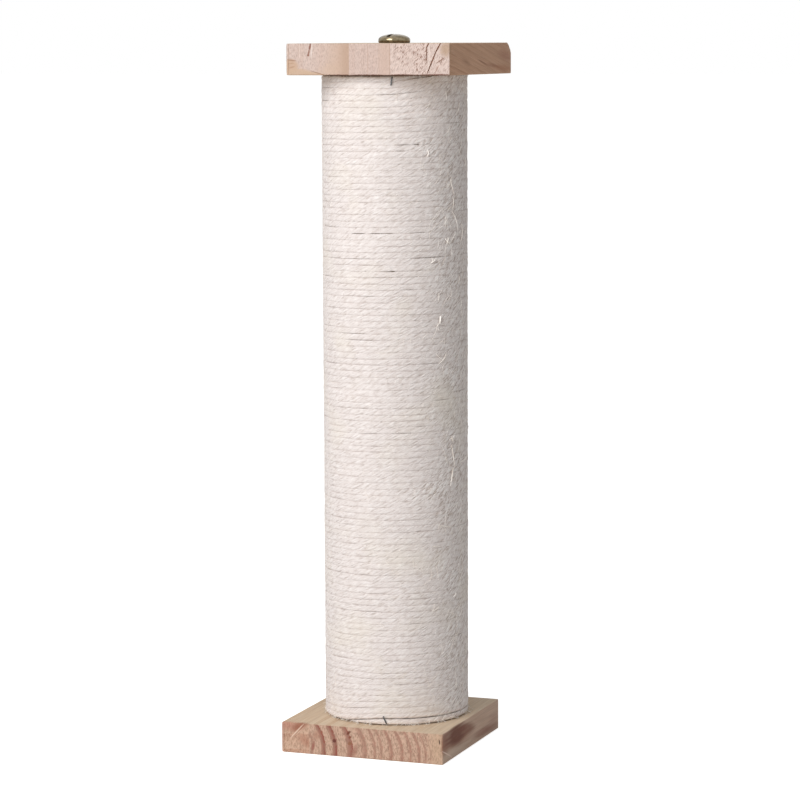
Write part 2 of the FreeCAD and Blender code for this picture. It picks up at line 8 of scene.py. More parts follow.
import logging
import math
from abc import ABC, abstractmethod
from collections.abc import Callable, Iterator, Mapping, Sequence
from contextlib import contextmanager
from dataclasses import dataclass
from enum import Enum
from functools import partial
from typing import Any, ClassVar

import bmesh
import bpy
import numpy as np
from mathutils import Matrix, Vector


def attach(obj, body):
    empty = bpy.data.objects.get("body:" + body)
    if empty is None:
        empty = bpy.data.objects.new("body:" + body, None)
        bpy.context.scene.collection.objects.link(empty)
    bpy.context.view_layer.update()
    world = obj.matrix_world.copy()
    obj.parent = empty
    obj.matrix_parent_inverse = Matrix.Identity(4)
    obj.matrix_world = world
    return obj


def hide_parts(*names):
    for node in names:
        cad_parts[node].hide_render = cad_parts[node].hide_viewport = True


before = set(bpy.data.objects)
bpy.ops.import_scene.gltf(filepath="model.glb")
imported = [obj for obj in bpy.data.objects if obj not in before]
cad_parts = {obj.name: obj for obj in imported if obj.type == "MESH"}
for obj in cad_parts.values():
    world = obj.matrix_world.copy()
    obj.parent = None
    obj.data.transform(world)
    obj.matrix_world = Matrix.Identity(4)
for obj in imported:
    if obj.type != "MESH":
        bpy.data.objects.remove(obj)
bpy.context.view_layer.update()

MM = 0.001
BODY = "root"
LAY_MAP = "RopeLay"
GROOVE = "groove"
FELT = "felt"
COLOURS = {"out": 2, "data_type": "RGBA"}  # makes a Mix node mix its inputs 6 and 7 as colours
RAMP_RINGS = 6  # a colour ramp has room for this many growth rings
NOISE_CELLS = 65536
NOISE_GRID = 512
log = logging.getLogger("scratching_post")

Colour = tuple[float, float, float, float]
Point = tuple[float, float, float]
Socket = bpy.types.NodeSocket
Adder = Callable[..., Socket]
Amounts = Mapping[str, float | str]
Row = tuple[float, float, float, float, float, str, float, float, float]


class Slot(Enum):
    """The record's material slots."""

    PINE = "pine"
    PLUG_WOOD = "plug_wood"
    CORE_BOARD = "core_board"
    SISAL = "sisal"
    ZINC_YELLOW = "zinc_yellow"
    ZINC_PLATE = "zinc_plate"
    STAPLE_WIRE = "staple_wire"


class Face(Enum):
    """Directions that a plate's face can look in."""

    LEFT = (-1, 0, 0)
    RIGHT = (1, 0, 0)
    FRONT = (0, -1, 0)
    BACK = (0, 1, 0)
    BOTTOM = (0, 0, -1)
    TOP = (0, 0, 1)


# Working in Blender


def mm(*sizes: float) -> tuple[float, ...]:
    """Turn millimetres into Blender's metres."""
    return tuple(size * MM for size in sizes)


def srgb(hex_colour: str) -> Colour:
    """Turn an sRGB hex colour into linear light.

    Args:
        hex_colour: six hex digits after a hash.

    Returns:
        Linear red, green, blue and an alpha of 1.
    """
    parts = [int(hex_colour[i : i + 2], 16) / 255 for i in (1, 3, 5)]
    linear = [c / 12.92 if c <= 0.04045 else ((c + 0.055) / 1.055) ** 2.4 for c in parts]
    return (linear[0], linear[1], linear[2], 1.0)


def grey(level: float) -> str:
    """The hex colour of a grey with a given share of linear light."""
    byte = round(255 * (12.92 * level if level < 0.0031 else 1.055 * level ** (1 / 2.4) - 0.055))
    return f"#{byte:02x}{byte:02x}{byte:02x}"


def add_node(
    tree: bpy.types.NodeTree,
    kind: str,
    inputs: Mapping[str | int, Any] | Sequence[Any] = (),
    out: int | str = 0,
    stops: Sequence[tuple[float, str]] = (),
    **settings: Any,
) -> Socket:
    """Add a node with its settings and links.

    Args:
        tree: the material's or world's tree.
        kind: the node's type name, without the leading ShaderNode.
        inputs: an output socket, a value or a hex colour for each input, in order or by its key.
        out: which output is wanted.
        stops: places and hex colours of a colour ramp.
        **settings: the node's own properties.

    Returns:
        The new node's output.
    """
    node = tree.nodes.new(f"ShaderNode{kind}")
    for name, setting in settings.items():
        setattr(node, name, setting)
    pairs = inputs.items() if isinstance(inputs, Mapping) else enumerate(inputs)
    for key, source in pairs:
        if isinstance(source, Socket):
            tree.links.new(source, node.inputs[key])
        else:
            node.inputs[key].default_value = srgb(source) if isinstance(source, str) else source
    for number, (place, colour) in enumerate(stops):
        elements = node.color_ramp.elements
        stop = elements[number] if number < 2 else elements.new(place)
        stop.position = place
        stop.color = srgb(colour)
    return node.outputs[out]


def deselect_all() -> None:
    """Leave object mode with nothing selected."""
    if bpy.context.object and bpy.context.object.mode != "OBJECT":
        bpy.ops.object.mode_set(mode="OBJECT")
    bpy.ops.object.select_all(action="DESELECT")


def choose(piece: bpy.types.Object) -> None:
    """Select one object and make it active."""
    deselect_all()
    piece.select_set(True)
    bpy.context.view_layer.objects.active = piece


@contextmanager
def editing(piece: bpy.types.Object, mode: str = "FACE") -> Iterator[None]:
    """Edit one mesh, starting with nothing of it selected.

    Args:
        piece: the object to edit.
        mode: what is picked, VERT, EDGE or FACE.
    """
    choose(piece)
    bpy.ops.object.mode_set(mode="EDIT")
    bpy.ops.mesh.select_mode(type=mode)
    bpy.ops.mesh.select_all(action="DESELECT")
    yield
    bpy.ops.object.mode_set(mode="OBJECT")


def pick(piece: bpy.types.Object, kind: str, test: Callable[[Any], bool]) -> int:
    """Select the mesh elements that pass a test, in edit mode.

    Args:
        piece: the object being edited.
        kind: verts, edges or faces.
        test: says whether an element is wanted.

    Returns:
        How many were selected.
    """
    shape = bmesh.from_edit_mesh(piece.data)
    found = [element for element in getattr(shape, kind) if test(element)]
    for element in found:
        element.select = True
    shape.select_flush_mode()
    bmesh.update_edit_mesh(piece.data)
    return len(found)


def named(name: str) -> bpy.types.Object:
    """Name the active object and its mesh, and return it."""
    piece = bpy.context.object
    piece.name = name
    piece.data.name = name
    return piece


def settle(piece: bpy.types.Object) -> None:
    """Put an object's place, turn and scale into its mesh."""
    choose(piece)
    bpy.ops.object.transform_apply(location=True, rotation=True, scale=True)


def apply_modifier(piece: bpy.types.Object, kind: str, **settings: Any) -> None:
    """Add a modifier with its settings and apply it.

    Args:
        piece: the object that it works on.
        kind: the modifier's type name.
        **settings: its own properties.
    """
    choose(piece)
    modifier = piece.modifiers.new(kind.title(), kind)
    for name, setting in settings.items():
        setattr(modifier, name, setting)
    bpy.ops.object.modifier_apply(modifier=modifier.name)


def cut_away(piece: bpy.types.Object, cutter: bpy.types.Object) -> None:
    """Cut one mesh out of another and remove the cutter."""
    apply_modifier(piece, "BOOLEAN", operation="DIFFERENCE", solver="EXACT", object=cutter)
    bpy.data.objects.remove(cutter)


def corners_of(piece: bpy.types.Object) -> np.ndarray:
    """A mesh's vertices in millimetres, one row each."""
    flat = np.empty(len(piece.data.vertices) * 3)
    piece.data.vertices.foreach_get("co", flat)
    return flat.reshape(-1, 3) / MM


def move_corners(piece: bpy.types.Object, places: np.ndarray) -> None:
    """Put a mesh's vertices at places in millimetres."""
    piece.data.vertices.foreach_set("co", (places * MM).ravel())
    piece.data.update()


def face_outwards(piece: bpy.types.Object) -> None:
    """Turn all faces of a closed mesh outwards."""
    with editing(piece):
        bpy.ops.mesh.select_all(action="SELECT")
        bpy.ops.mesh.normals_make_consistent(inside=False)


def smooth(piece: bpy.types.Object, degrees: float) -> None:
    """Shade a mesh smooth, with edges sharper than an angle kept sharp."""
    choose(piece)
    bpy.ops.object.shade_smooth_by_angle(angle=math.radians(degrees))


def mesh_object(
    name: str,
    points: np.ndarray,
    edges: Sequence[tuple[int, int]] = (),
    faces: Sequence[tuple[int, ...]] = (),
) -> bpy.types.Object:
    """A new mesh object from points in millimetres, and its edges or faces.

    Args:
        name: of the object and its mesh.
        points: one row for each vertex.
        edges: pairs of vertices, for a bare outline.
        faces: each face's vertices.

    Returns:
        The new object.
    """
    mesh = bpy.data.meshes.new(name)
    mesh.from_pydata([tuple(point) for point in points * MM], edges, faces)
    piece = bpy.data.objects.new(name, mesh)
    bpy.context.scene.collection.objects.link(piece)
    return piece


def hand_over(
    piece: bpy.types.Object, slot: Slot, material: bpy.types.Material, *nodes: str
) -> None:
    """Dress a finished piece, seat it on the frame and report it.

    Args:
        piece: the finished object.
        slot: the record's slot for the piece's finish; not used.
        material: its finish.
        *nodes: the CAD nodes that it stands for.
    """
    piece.data.materials.clear()
    piece.data.materials.append(material)
    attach(piece, BODY)
    if nodes:
        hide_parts(*nodes)
    log.info("%s: %d faces", piece.name, len(piece.data.polygons))


def ripple(where: np.ndarray, seed: int) -> np.ndarray:
    """Smooth seeded noise along a line, from -1 to 1, with a cell of 1.

    Args:
        where: places along the line, in cells.
        seed: of the noise.

    Returns:
        The noise at each place.
    """
    cells = np.random.default_rng(seed).uniform(-1, 1, NOISE_CELLS)
    whole = np.floor(where).astype(int)
    share = ramp(where - whole)
    return cells[whole % NOISE_CELLS] * (1 - share) + cells[(whole + 1) % NOISE_CELLS] * share


def relief(across: np.ndarray, up: np.ndarray, seed: int) -> np.ndarray:
    """Smooth seeded noise over a surface, from -1 to 1, with a cell of 1.

    Args:
        across: places along the surface, in cells.
        up: the same, square to them.
        seed: of the noise.

    Returns:
        The noise at each place.
    """
    cells = np.random.default_rng(seed).uniform(-1, 1, (NOISE_GRID, NOISE_GRID))
    column, row = np.floor(across).astype(int), np.floor(up).astype(int)
    x, y = ramp(across - column), ramp(up - row)
    left, right = column % NOISE_GRID, (column + 1) % NOISE_GRID
    below, above = row % NOISE_GRID, (row + 1) % NOISE_GRID
    low = cells[below, left] * (1 - x) + cells[below, right] * x
    high = cells[above, left] * (1 - x) + cells[above, right] * x
    return low * (1 - y) + high * y


def ramp(x: np.ndarray | float) -> np.ndarray:
    """A smooth rise from 0 to 1 as x goes from 0 to 1."""
    held = np.clip(x, 0.0, 1.0)
    return held * held * (3 - 2 * held)


# Finishes


@dataclass(frozen=True)
class Finish(ABC):
    """What a surface is made of, and how it was made."""

    sockets: ClassVar[Amounts] = {}
    name: str

    def material(self) -> bpy.types.Material:
        """A new material with this finish."""
        material = bpy.data.materials.new(self.name)
        material.use_nodes = True
        tree = material.node_tree
        shader = tree.nodes["Principled BSDF"]
        for key, amount in self.sockets.items():
            shader.inputs[key].default_value = srgb(amount) if isinstance(amount, str) else amount
        for key, source in self.dress(partial(add_node, tree)).items():
            tree.links.new(source, shader.inputs[key])
        return material

    @abstractmethod
    def dress(self, node: Adder) -> dict[str, Socket]:
        """Add the patterns, and return what each of the shader's inputs takes.

        Args:
            node: adds a node to the material.

        Returns:
            The source of each of the shader's inputs that has a pattern.
        """

    @staticmethod
    def displaced(node: Adder, noise: Socket, reach: float, start: Socket) -> Socket:
        """Move a measure by noise, as far as half the reach either way."""
        centred = node("Math", (noise, 0.5), operation="SUBTRACT")
        return node("Math", (centred, reach, start), operation="MULTIPLY_ADD")


@dataclass(frozen=True)
class ColourPatch:
    """A patch or streak of another colour: an ellipsoid about a point of the plate, ragged at its edge.
    Most are stains and torn grain; the dark lines along the top plate's lower edge and a wedge at its
    lower left are painted shade.

    It is turned about the normal of the face that it shows on, Y at the front and X at the side.
    """

    centre: Point
    reach: Point
    turn: float
    colour: str
    strength: float
    edge: float
    soft: float
    side: bool


@dataclass(frozen=True)
class PineBoard(Finish):
    """Sawn and planed pine: growth rings about the pith, fine fibres along Y, torn end grain."""

    sockets: ClassVar[Amounts] = {"IOR": 1.5, "Specular IOR Level": 0.25}
    pith: tuple[float, float]
    ring_width: float
    oval: float = 1.0
    wander: float = 2.5
    rings: tuple[Point, ...] = ()
    ragged: float = 0.0
    torn_lean: float = 0.0
    torn_cell: Point = (0.65, 0.7, 1.7)
    torn_zones: tuple[ColourPatch, ...] = ()
    plate_turn: float = 0.0
    side_slope: float = 0.0
    top_pale: str = "#dfccb4"
    top_dark: str = "#bf9a76"
    side_pale: str = "#cfae8c"
    side_dark: str = "#a0704e"
    end_pale: str = "#d3c0b1"
    end_dark: str = "#a87c62"
    end_contrast: float = 0.6
    mottle: float = 0.12
    speckle: float = 0.4
    speckle_colour: str = "#8a5a3c"
    stains_and_shade: tuple[ColourPatch, ...] = ()

    def dress(self, node: Adder) -> dict[str, Socket]:
        """Rings by distance from the pith, fibres by stretched noise, and the board's own stains, among
        them painted shade on the top plate.
        """
        place = node("TexCoord", out="Object")
        turn = (0.0, 0.0, -math.radians(self.plate_turn))
        board = node("Mapping", {"Vector": place, "Scale": (1 / MM,) * 3, "Rotation": turn})
        normal = node("SeparateXYZ", (node("NewGeometry", out="Normal"),)).node.outputs
        is_end = self.facing(node, normal["Y"])
        is_side = self.facing(node, normal["X"])
        pith = (-self.pith[0], 0.0, -self.pith[1])
        straight = node("Mapping", {"Vector": board, "Location": pith})
        # The side shows fibres that run out of the board, so its pattern slopes
        slope = (math.radians(self.side_slope), 0.0, 0.0)
        sloped = node("Mapping", {"Vector": straight, "Rotation": slope})
        grain = node("Mix", {0: is_side, 4: straight, 5: sloped}, out=1, data_type="VECTOR")
        lean = (0.0, math.radians(self.torn_lean), 0.0)
        shape = {"Vector": board, "Rotation": lean, "Scale": self.torn_cell}
        cells = node("Mapping", shape, vector_type="TEXTURE")
        pores = node("TexNoise", {"Vector": cells, "Scale": 1.0, "Detail": 3.0, "Roughness": 0.6})
        band = self.ring_pattern(node, grain, pores)
        fibres = self.stretched_noise(node, grain, (2.0, 0.04, 2.0), 3.0)
        broad = self.stretched_noise(node, grain, (0.45, 0.02, 0.45), 2.0)

        streak = node("MapRange", (fibres, 0.35, 0.7, 0.0, 0.45))
        shade = node("Math", (band, 0.45, streak), operation="MULTIPLY_ADD", use_clamp=True)
        top = node("Mix", {0: shade, 6: self.top_pale, 7: self.top_dark}, **COLOURS)
        side = node("Mix", {0: shade, 6: self.side_pale, 7: self.side_dark}, **COLOURS)
        end_shade = node("Math", (band, self.end_contrast), operation="MULTIPLY")
        end = node("Mix", {0: end_shade, 6: self.end_pale, 7: self.end_dark}, **COLOURS)
        # Torn fibres and open cells of the saw cut, drawn about 1 mm wide so that they show
        amount = node("Value")
        amount.default_value = self.speckle
        for zone in self.torn_zones:
            torn = self.patch_mask(node, board, broad, zone)
            amount = node("Math", (amount, torn), operation="MAXIMUM")
        dots = node("MapRange", (pores, 0.52, 0.6, 0.0, amount))
        end = node("Mix", {0: dots, 6: end, 7: self.speckle_colour}, **COLOURS)
        light = node("MapRange", (pores, 0.35, 0.6, 1 + self.mottle, 1 - self.mottle))
        end = node("VectorMath", {0: end, "Scale": light}, operation="SCALE")
        planed = node("Mix", {0: is_side, 6: top, 7: side}, **COLOURS)
        colour = node("Mix", {0: is_end, 6: planed, 7: end}, **COLOURS)
        tone = node("MapRange", (broad, 0.3, 0.7, 0.94, 1.05))
        colour = node("VectorMath", {0: colour, "Scale": tone}, operation="SCALE")
        for colour_patch in self.stains_and_shade:
            mask = self.patch_mask(node, board, broad if colour_patch.side else pores, colour_patch)
            colour = node("Mix", {0: mask, 6: colour, 7: colour_patch.colour}, **COLOURS)

        height = node("Mix", {0: is_end, 2: fibres, 3: pores})
        raised = node("Math", (band, 0.25, height), operation="MULTIPLY_ADD")
        return {
            "Base Color": colour,
            "Normal": node("Bump", {"Height": raised, "Strength": 0.7, "Distance": 0.35 * MM}),
            "Roughness": node("MapRange", (fibres, 0.0, 1.0, 0.62, 0.8)),
        }

    def ring_pattern(self, node: Adder, grain: Socket, torn: Socket) -> Socket:
        """Darkness of the growth rings, from 0 to 1.

        Pine's earlywood darkens slowly into latewood, and the next year starts with a sharp edge.

        Args:
            node: adds a node to the material.
            grain: the place from the pith, in millimetres.
            torn: the noise of the torn end grain.

        Returns:
            The rings' darkness.
        """
        wander = self.stretched_noise(node, grain, (0.06, 0.006, 0.06), 2.0)
        across = node("VectorMath", (grain, (1.0, 0.0, self.oval)), operation="MULTIPLY")
        distance = node("VectorMath", (across,), out="Value", operation="LENGTH")
        shifted = self.displaced(node, wander, self.wander * 2, distance)
        if self.rings:
            shifted = self.displaced(node, torn, self.ragged * 2, shifted)
            band = self.placed_rings(node, shifted, self.rings[:RAMP_RINGS])
            for first in range(RAMP_RINGS, len(self.rings), RAMP_RINGS):
                other = self.placed_rings(node, shifted, self.rings[first : first + RAMP_RINGS])
                band = node("Math", (band, other), operation="MAXIMUM")
            depth = node("MapRange", (torn, 0.36, 0.64, 1.25, 0.6))
            return node("Math", (band, depth), operation="MULTIPLY", use_clamp=True)
        years = node("Math", (shifted, 1 / self.ring_width), operation="MULTIPLY")
        share = node("Math", (years,), operation="FRACT")
        levels = ((0.0, 0), (1.0, 0), (0.35, 0.1), (0.7, 0.5), (0.94, 1))
        ring = node("ValToRGB", (share,), stops=[(at, grey(level)) for at, level in levels])
        year = node("Math", (years,), operation="FLOOR")
        season = node("TexWhiteNoise", {"W": year}, out="Value", noise_dimensions="1D")
        depth = node("MapRange", (season, 0.0, 1.0, 0.45, 1.0))
        return node("Math", (ring, depth), operation="MULTIPLY")

    @staticmethod
    def placed_rings(node: Adder, distance: Socket, rings: Sequence[Point]) -> Socket:
        """Rings at given distances, each with its inner edge, its outer edge and its darkness.

        Args:
            node: adds a node to the material.
            distance: from the pith, in millimetres.
            rings: as many as one colour ramp has room for.

        Returns:
            The rings' darkness.
        """
        low, high = rings[0][0] - 2.0, rings[-1][1] + 2.0
        levels = [(low, 0.1), (high, 0.1)]
        for inner, outer, darkness in rings:
            levels += [(inner - 0.7, 0.12), (inner, 0.6 * darkness), (outer - 0.4, darkness)]
            levels += [(outer + 0.2, 0.0), (outer + 0.9, 0.1)]
        share = node("MapRange", (distance, low, high))
        stops = [((at - low) / (high - low), grey(level)) for at, level in levels]
        return node("ValToRGB", (share,), stops=stops)

    @staticmethod
    def facing(node: Adder, part: Socket) -> Socket:
        """How far a face looks along one axis, either way, as a soft mask."""
        steep = node("Math", (part,), operation="ABSOLUTE")
        return node("MapRange", (steep, 0.4, 0.8), interpolation_type="SMOOTHSTEP")

    @staticmethod
    def stretched_noise(node: Adder, grain: Socket, per_mm: Point, detail: float) -> Socket:
        """Noise with its own number of cells a millimetre along each axis."""
        place = node("VectorMath", (grain, per_mm), operation="MULTIPLY")
        return node("TexNoise", {"Vector": place, "Scale": 1.0, "Detail": detail})

    def patch_mask(self, node: Adder, board: Socket, rough: Socket, colour_patch: ColourPatch) -> Socket:
        """Where one colour patch lies.

        Args:
            node: adds a node to the material.
            board: the place on the plate, in millimetres.
            rough: the noise that makes the edge ragged.
            colour_patch: the patch, a stain or a piece of painted shade.

        Returns:
            Its cover, from 0 to its strength.
        """
        moved = node("VectorMath", (board, colour_patch.centre), operation="SUBTRACT")
        axis, turn = ((1.0, 0.0, 0.0), -colour_patch.turn) if colour_patch.side else ((0.0, 1.0, 0.0), colour_patch.turn)
        turned = node("VectorRotate", {"Vector": moved, "Axis": axis, "Angle": math.radians(turn)})
        scaled = node("VectorMath", (turned, colour_patch.reach), operation="DIVIDE")
        reach = node("VectorMath", (scaled,), out="Value", operation="LENGTH")
        ragged = self.displaced(node, rough, 3 * colour_patch.edge, reach)
        limits = (1.0 + colour_patch.soft, 1.0 - colour_patch.soft, 0.0, colour_patch.strength)
        return node("MapRange", (ragged, *limits), interpolation_type="SMOOTHSTEP")


@dataclass(frozen=True)
class SisalYarn(Finish):
    """Bleached sisal, spun into one thick yarn: straw-like fibres that slant across each turn."""

    sockets: ClassVar[Amounts] = {
        "Roughness": 0.85,
        "IOR": 1.45,
        "Specular IOR Level": 0.15,
        "Sheen Weight": 0.15,
        "Sheen Roughness": 0.5,
    }
    lay_angle: float

    def dress(self, node: Adder) -> dict[str, Socket]:
        """Fibres and bundles by noise stretched along the lay, and tan shadows in the grooves."""
        lay = node("UVMap", uv_map=LAY_MAP)
        felt = node("Attribute", out="Fac", attribute_name=FELT)
        bundles = self.combed(node, lay, 0.0, (0.16, 0.95), 1.0)
        fibres = self.combed(node, lay, -2.0, (0.27, 1.35), 2.0)
        spun = node("Math", (bundles, 0.8, fibres), operation="MULTIPLY_ADD")
        # Where the surface is rubbed, the fibres are matted: steeper, shorter and less even
        matted = self.combed(node, lay, 8.0, (0.24, 1.3), 2.0)
        mottle = self.combed(node, lay, 20.0, (0.16, 0.7), 2.0)
        rubbed = node("Math", (mottle, 0.85, matted), operation="MULTIPLY_ADD")
        mixed = node("Mix", {0: felt, 2: spun, 3: rubbed})
        # The matted side shows more of its single fibres than the smooth one; its wider colour range is
        # partly painted light and shade for the fibres' relief
        contrast = node("MapRange", (felt, 0.0, 1.0, 0.6, 1.5))
        mean = 0.92
        around_mean = node("Math", (mixed, mean), operation="SUBTRACT")
        level = node("Math", (around_mean, contrast, mean), operation="MULTIPLY_ADD")
        share = node("MapRange", (level, 0.6, 1.25))
        tones = ((0.0, "#c4b6ae"), (1.0, "#fffaf7"), (0.35, "#e6dcd8"), (0.65, "#f3ebe8"))
        colour = node("ValToRGB", (share,), stops=tones)

        place = node("TexCoord", out="Object")
        patches = node("TexNoise", {"Vector": place, "Scale": 28.0, "Detail": 2.0})
        straw = node("MapRange", (patches, 0.52, 0.75, 0.0, 0.4))
        colour = node("Mix", {0: straw, 6: colour, 7: "#efe6d6"}, **COLOURS)

        groove = node("Attribute", out="Fac", attribute_name=GROOVE)
        uneven = {"Vector": lay, "Scale": 0.12, "Detail": 2.0}
        dashes = node("TexNoise", uneven, noise_dimensions="2D")
        dash = node("MapRange", (dashes, 0.42, 0.72, 0.0, 0.6))
        shade = node("Math", (groove, dash), operation="MULTIPLY")
        colour = node("Mix", {0: shade, 6: colour, 7: "#b09c92"}, **COLOURS)
        # Painted shade: the rope's end turns are darkened where they meet the plates, for the shadow in
        # the gap under the top plate and along the base
        contact_shade = node("MapRange", (groove, 1.0, 1.5, 0.0, 0.9))
        return {
            "Base Color": node("Mix", {0: contact_shade, 6: colour, 7: "#4c382e"}, **COLOURS),
            "Normal": node("Bump", {"Height": mixed, "Strength": 0.75, "Distance": 0.55 * MM}),
        }

    def combed(
        self, node: Adder, lay: Socket, steeper: float, per_mm: tuple[float, float], detail: float
    ) -> Socket:
        """Noise stretched near the lay's angle, in cells a millimetre along and across.

        Args:
            node: adds a node to the material.
            lay: the way along and around the rope.
            steeper: degrees more than the rope's lay.
            per_mm: cells a millimetre, along the fibres and across them.
            detail: how many finer layers the noise has.

        Returns:
            The noise.
        """
        turn = (0.0, 0.0, -math.radians(self.lay_angle + steeper))
        turned = node("Mapping", {"Vector": lay, "Rotation": turn})
        place = node("VectorMath", (turned, (*per_mm, 1.0)), operation="MULTIPLY")
        noise = {"Vector": place, "Scale": 1.0, "Detail": detail, "Roughness": 0.6}
        return node("TexNoise", noise, noise_dimensions="2D")


@dataclass(frozen=True)
class LooseSisal(Finish):
    """Single bleached sisal fibres that stand off the winding, a bit glossy: their paler colour is
    partly their own and partly painted light for the light that they catch.
    """

    sockets: ClassVar[Amounts] = {
        "Sheen Weight": 0.7,
        "Roughness": 0.6,
        "Specular IOR Level": 0.3,
    }

    def dress(self, node: Adder) -> dict[str, Socket]:
        """A pale straw colour that changes from fibre to fibre."""
        change = node("TexNoise", {"Vector": node("TexCoord", out="Object"), "Scale": 90.0})
        tones = ((0.3, "#eadfd2"), (0.6, "#fffaf3"))
        return {"Base Color": node("ValToRGB", (change,), stops=tones)}


@dataclass(frozen=True)
class PlatedSteel(Finish):
    """Zinc on steel: a soft metal sheen with cloudy patches of passivation and handling marks."""

    sockets: ClassVar[Amounts] = {"Metallic": 1.0}
    bright: str
    dull: str
    roughness: tuple[float, float]
    patch_size: float

    def dress(self, node: Adder) -> dict[str, Socket]:
        """Clouds a few millimetres across that change both colour and roughness."""
        place = node("TexCoord", out="Object")
        scale = 1 / (self.patch_size * MM)
        cloudy = {"Vector": place, "Scale": scale, "Detail": 4.0, "Roughness": 0.6}
        clouds = node("TexNoise", cloudy)
        tones = ((0.35, self.dull), (0.65, self.bright))
        smoothest, roughest = self.roughness
        return {
            "Base Color": node("ValToRGB", (clouds,), stops=tones),
            "Roughness": node("MapRange", (clouds, 0.3, 0.7, roughest, smoothest)),
            "Normal": node("Bump", {"Height": clouds, "Strength": 0.25, "Distance": 0.05 * MM}),
        }


@dataclass(frozen=True)
class WoundBoard(Finish):
    """Grey-brown paper board, wound in a spiral: faint seams and flecks of recycled fibre."""

    sockets: ClassVar[Amounts] = {"Roughness": 0.9}
    strip: float = 70.0

    def dress(self, node: Adder) -> dict[str, Socket]:
        """Seams along a helix, over flecked kraft paper."""
        place = node("TexCoord", out="Object")
        flecks = node("TexNoise", {"Vector": place, "Scale": 900.0, "Detail": 3.0})
        colour = node("ValToRGB", (flecks,), stops=((0.3, "#8f7355"), (0.7, "#b89a76")))
        parts = node("SeparateXYZ", (place,)).node.outputs
        angle = node("Math", (parts["Y"], parts["X"]), operation="ARCTAN2")
        turns = node("Math", (angle, 1 / math.tau, 0.5), operation="MULTIPLY_ADD")
        rise = 1 / (self.strip * MM)
        climb = node("Math", (parts["Z"], rise, turns), operation="MULTIPLY_ADD")
        wrap = node("Math", (climb,), operation="FRACT")
        seam = node("MapRange", (wrap, 0.0, 0.015, 0.6, 0.0))
        return {
            "Base Color": node("Mix", {0: seam, 6: colour, 7: "#5e4a36"}, **COLOURS),
            "Normal": node("Bump", {"Height": flecks, "Strength": 0.3, "Distance": 0.1 * MM}),
        }


@dataclass(frozen=True)
class PaperFloor(Finish):
    """Matt pale paper that keeps the shadow and looks white to the camera beside it."""

    sockets: ClassVar[Amounts] = {
        "Base Color": "#e4e2df",
        "Roughness": 0.9,
        "Specular IOR Level": 0.0,
        "Emission Color": "#ffffff",
    }

    def dress(self, node: Adder) -> dict[str, Socket]:
        """A glow that only the rays that show the paper can see."""
        return {"Emission Strength": node("Math", (shown(node), 0.8), operation="MULTIPLY")}


def shown(node: Adder) -> Socket:
    """1 for rays that show a thing, straight, mirrored or through glass, and 0 for its light."""
    rays = node("LightPath").node.outputs
    seen = node("Math", (rays["Is Camera Ray"], rays["Is Glossy Ray"]), operation="MAXIMUM")
    return node("Math", (seen, rays["Is Transmission Ray"]), operation="MAXIMUM")


# Sub-assemblies


@dataclass
class Crack:
    """A check in the end grain: a thin wedge out of the front face."""

    across: float
    height: float
    length: float
    lean: float
    width: float
    depth: float = 3.0


@dataclass
class Strip:
    """One glued strip of a plate."""

    node: str
    left: float
    right: float
    finish: PineBoard
    outer: tuple[Face, ...]
    cracks: tuple[Crack, ...] = ()
    has_bolt: bool = False
    knocked_corner: bool = False


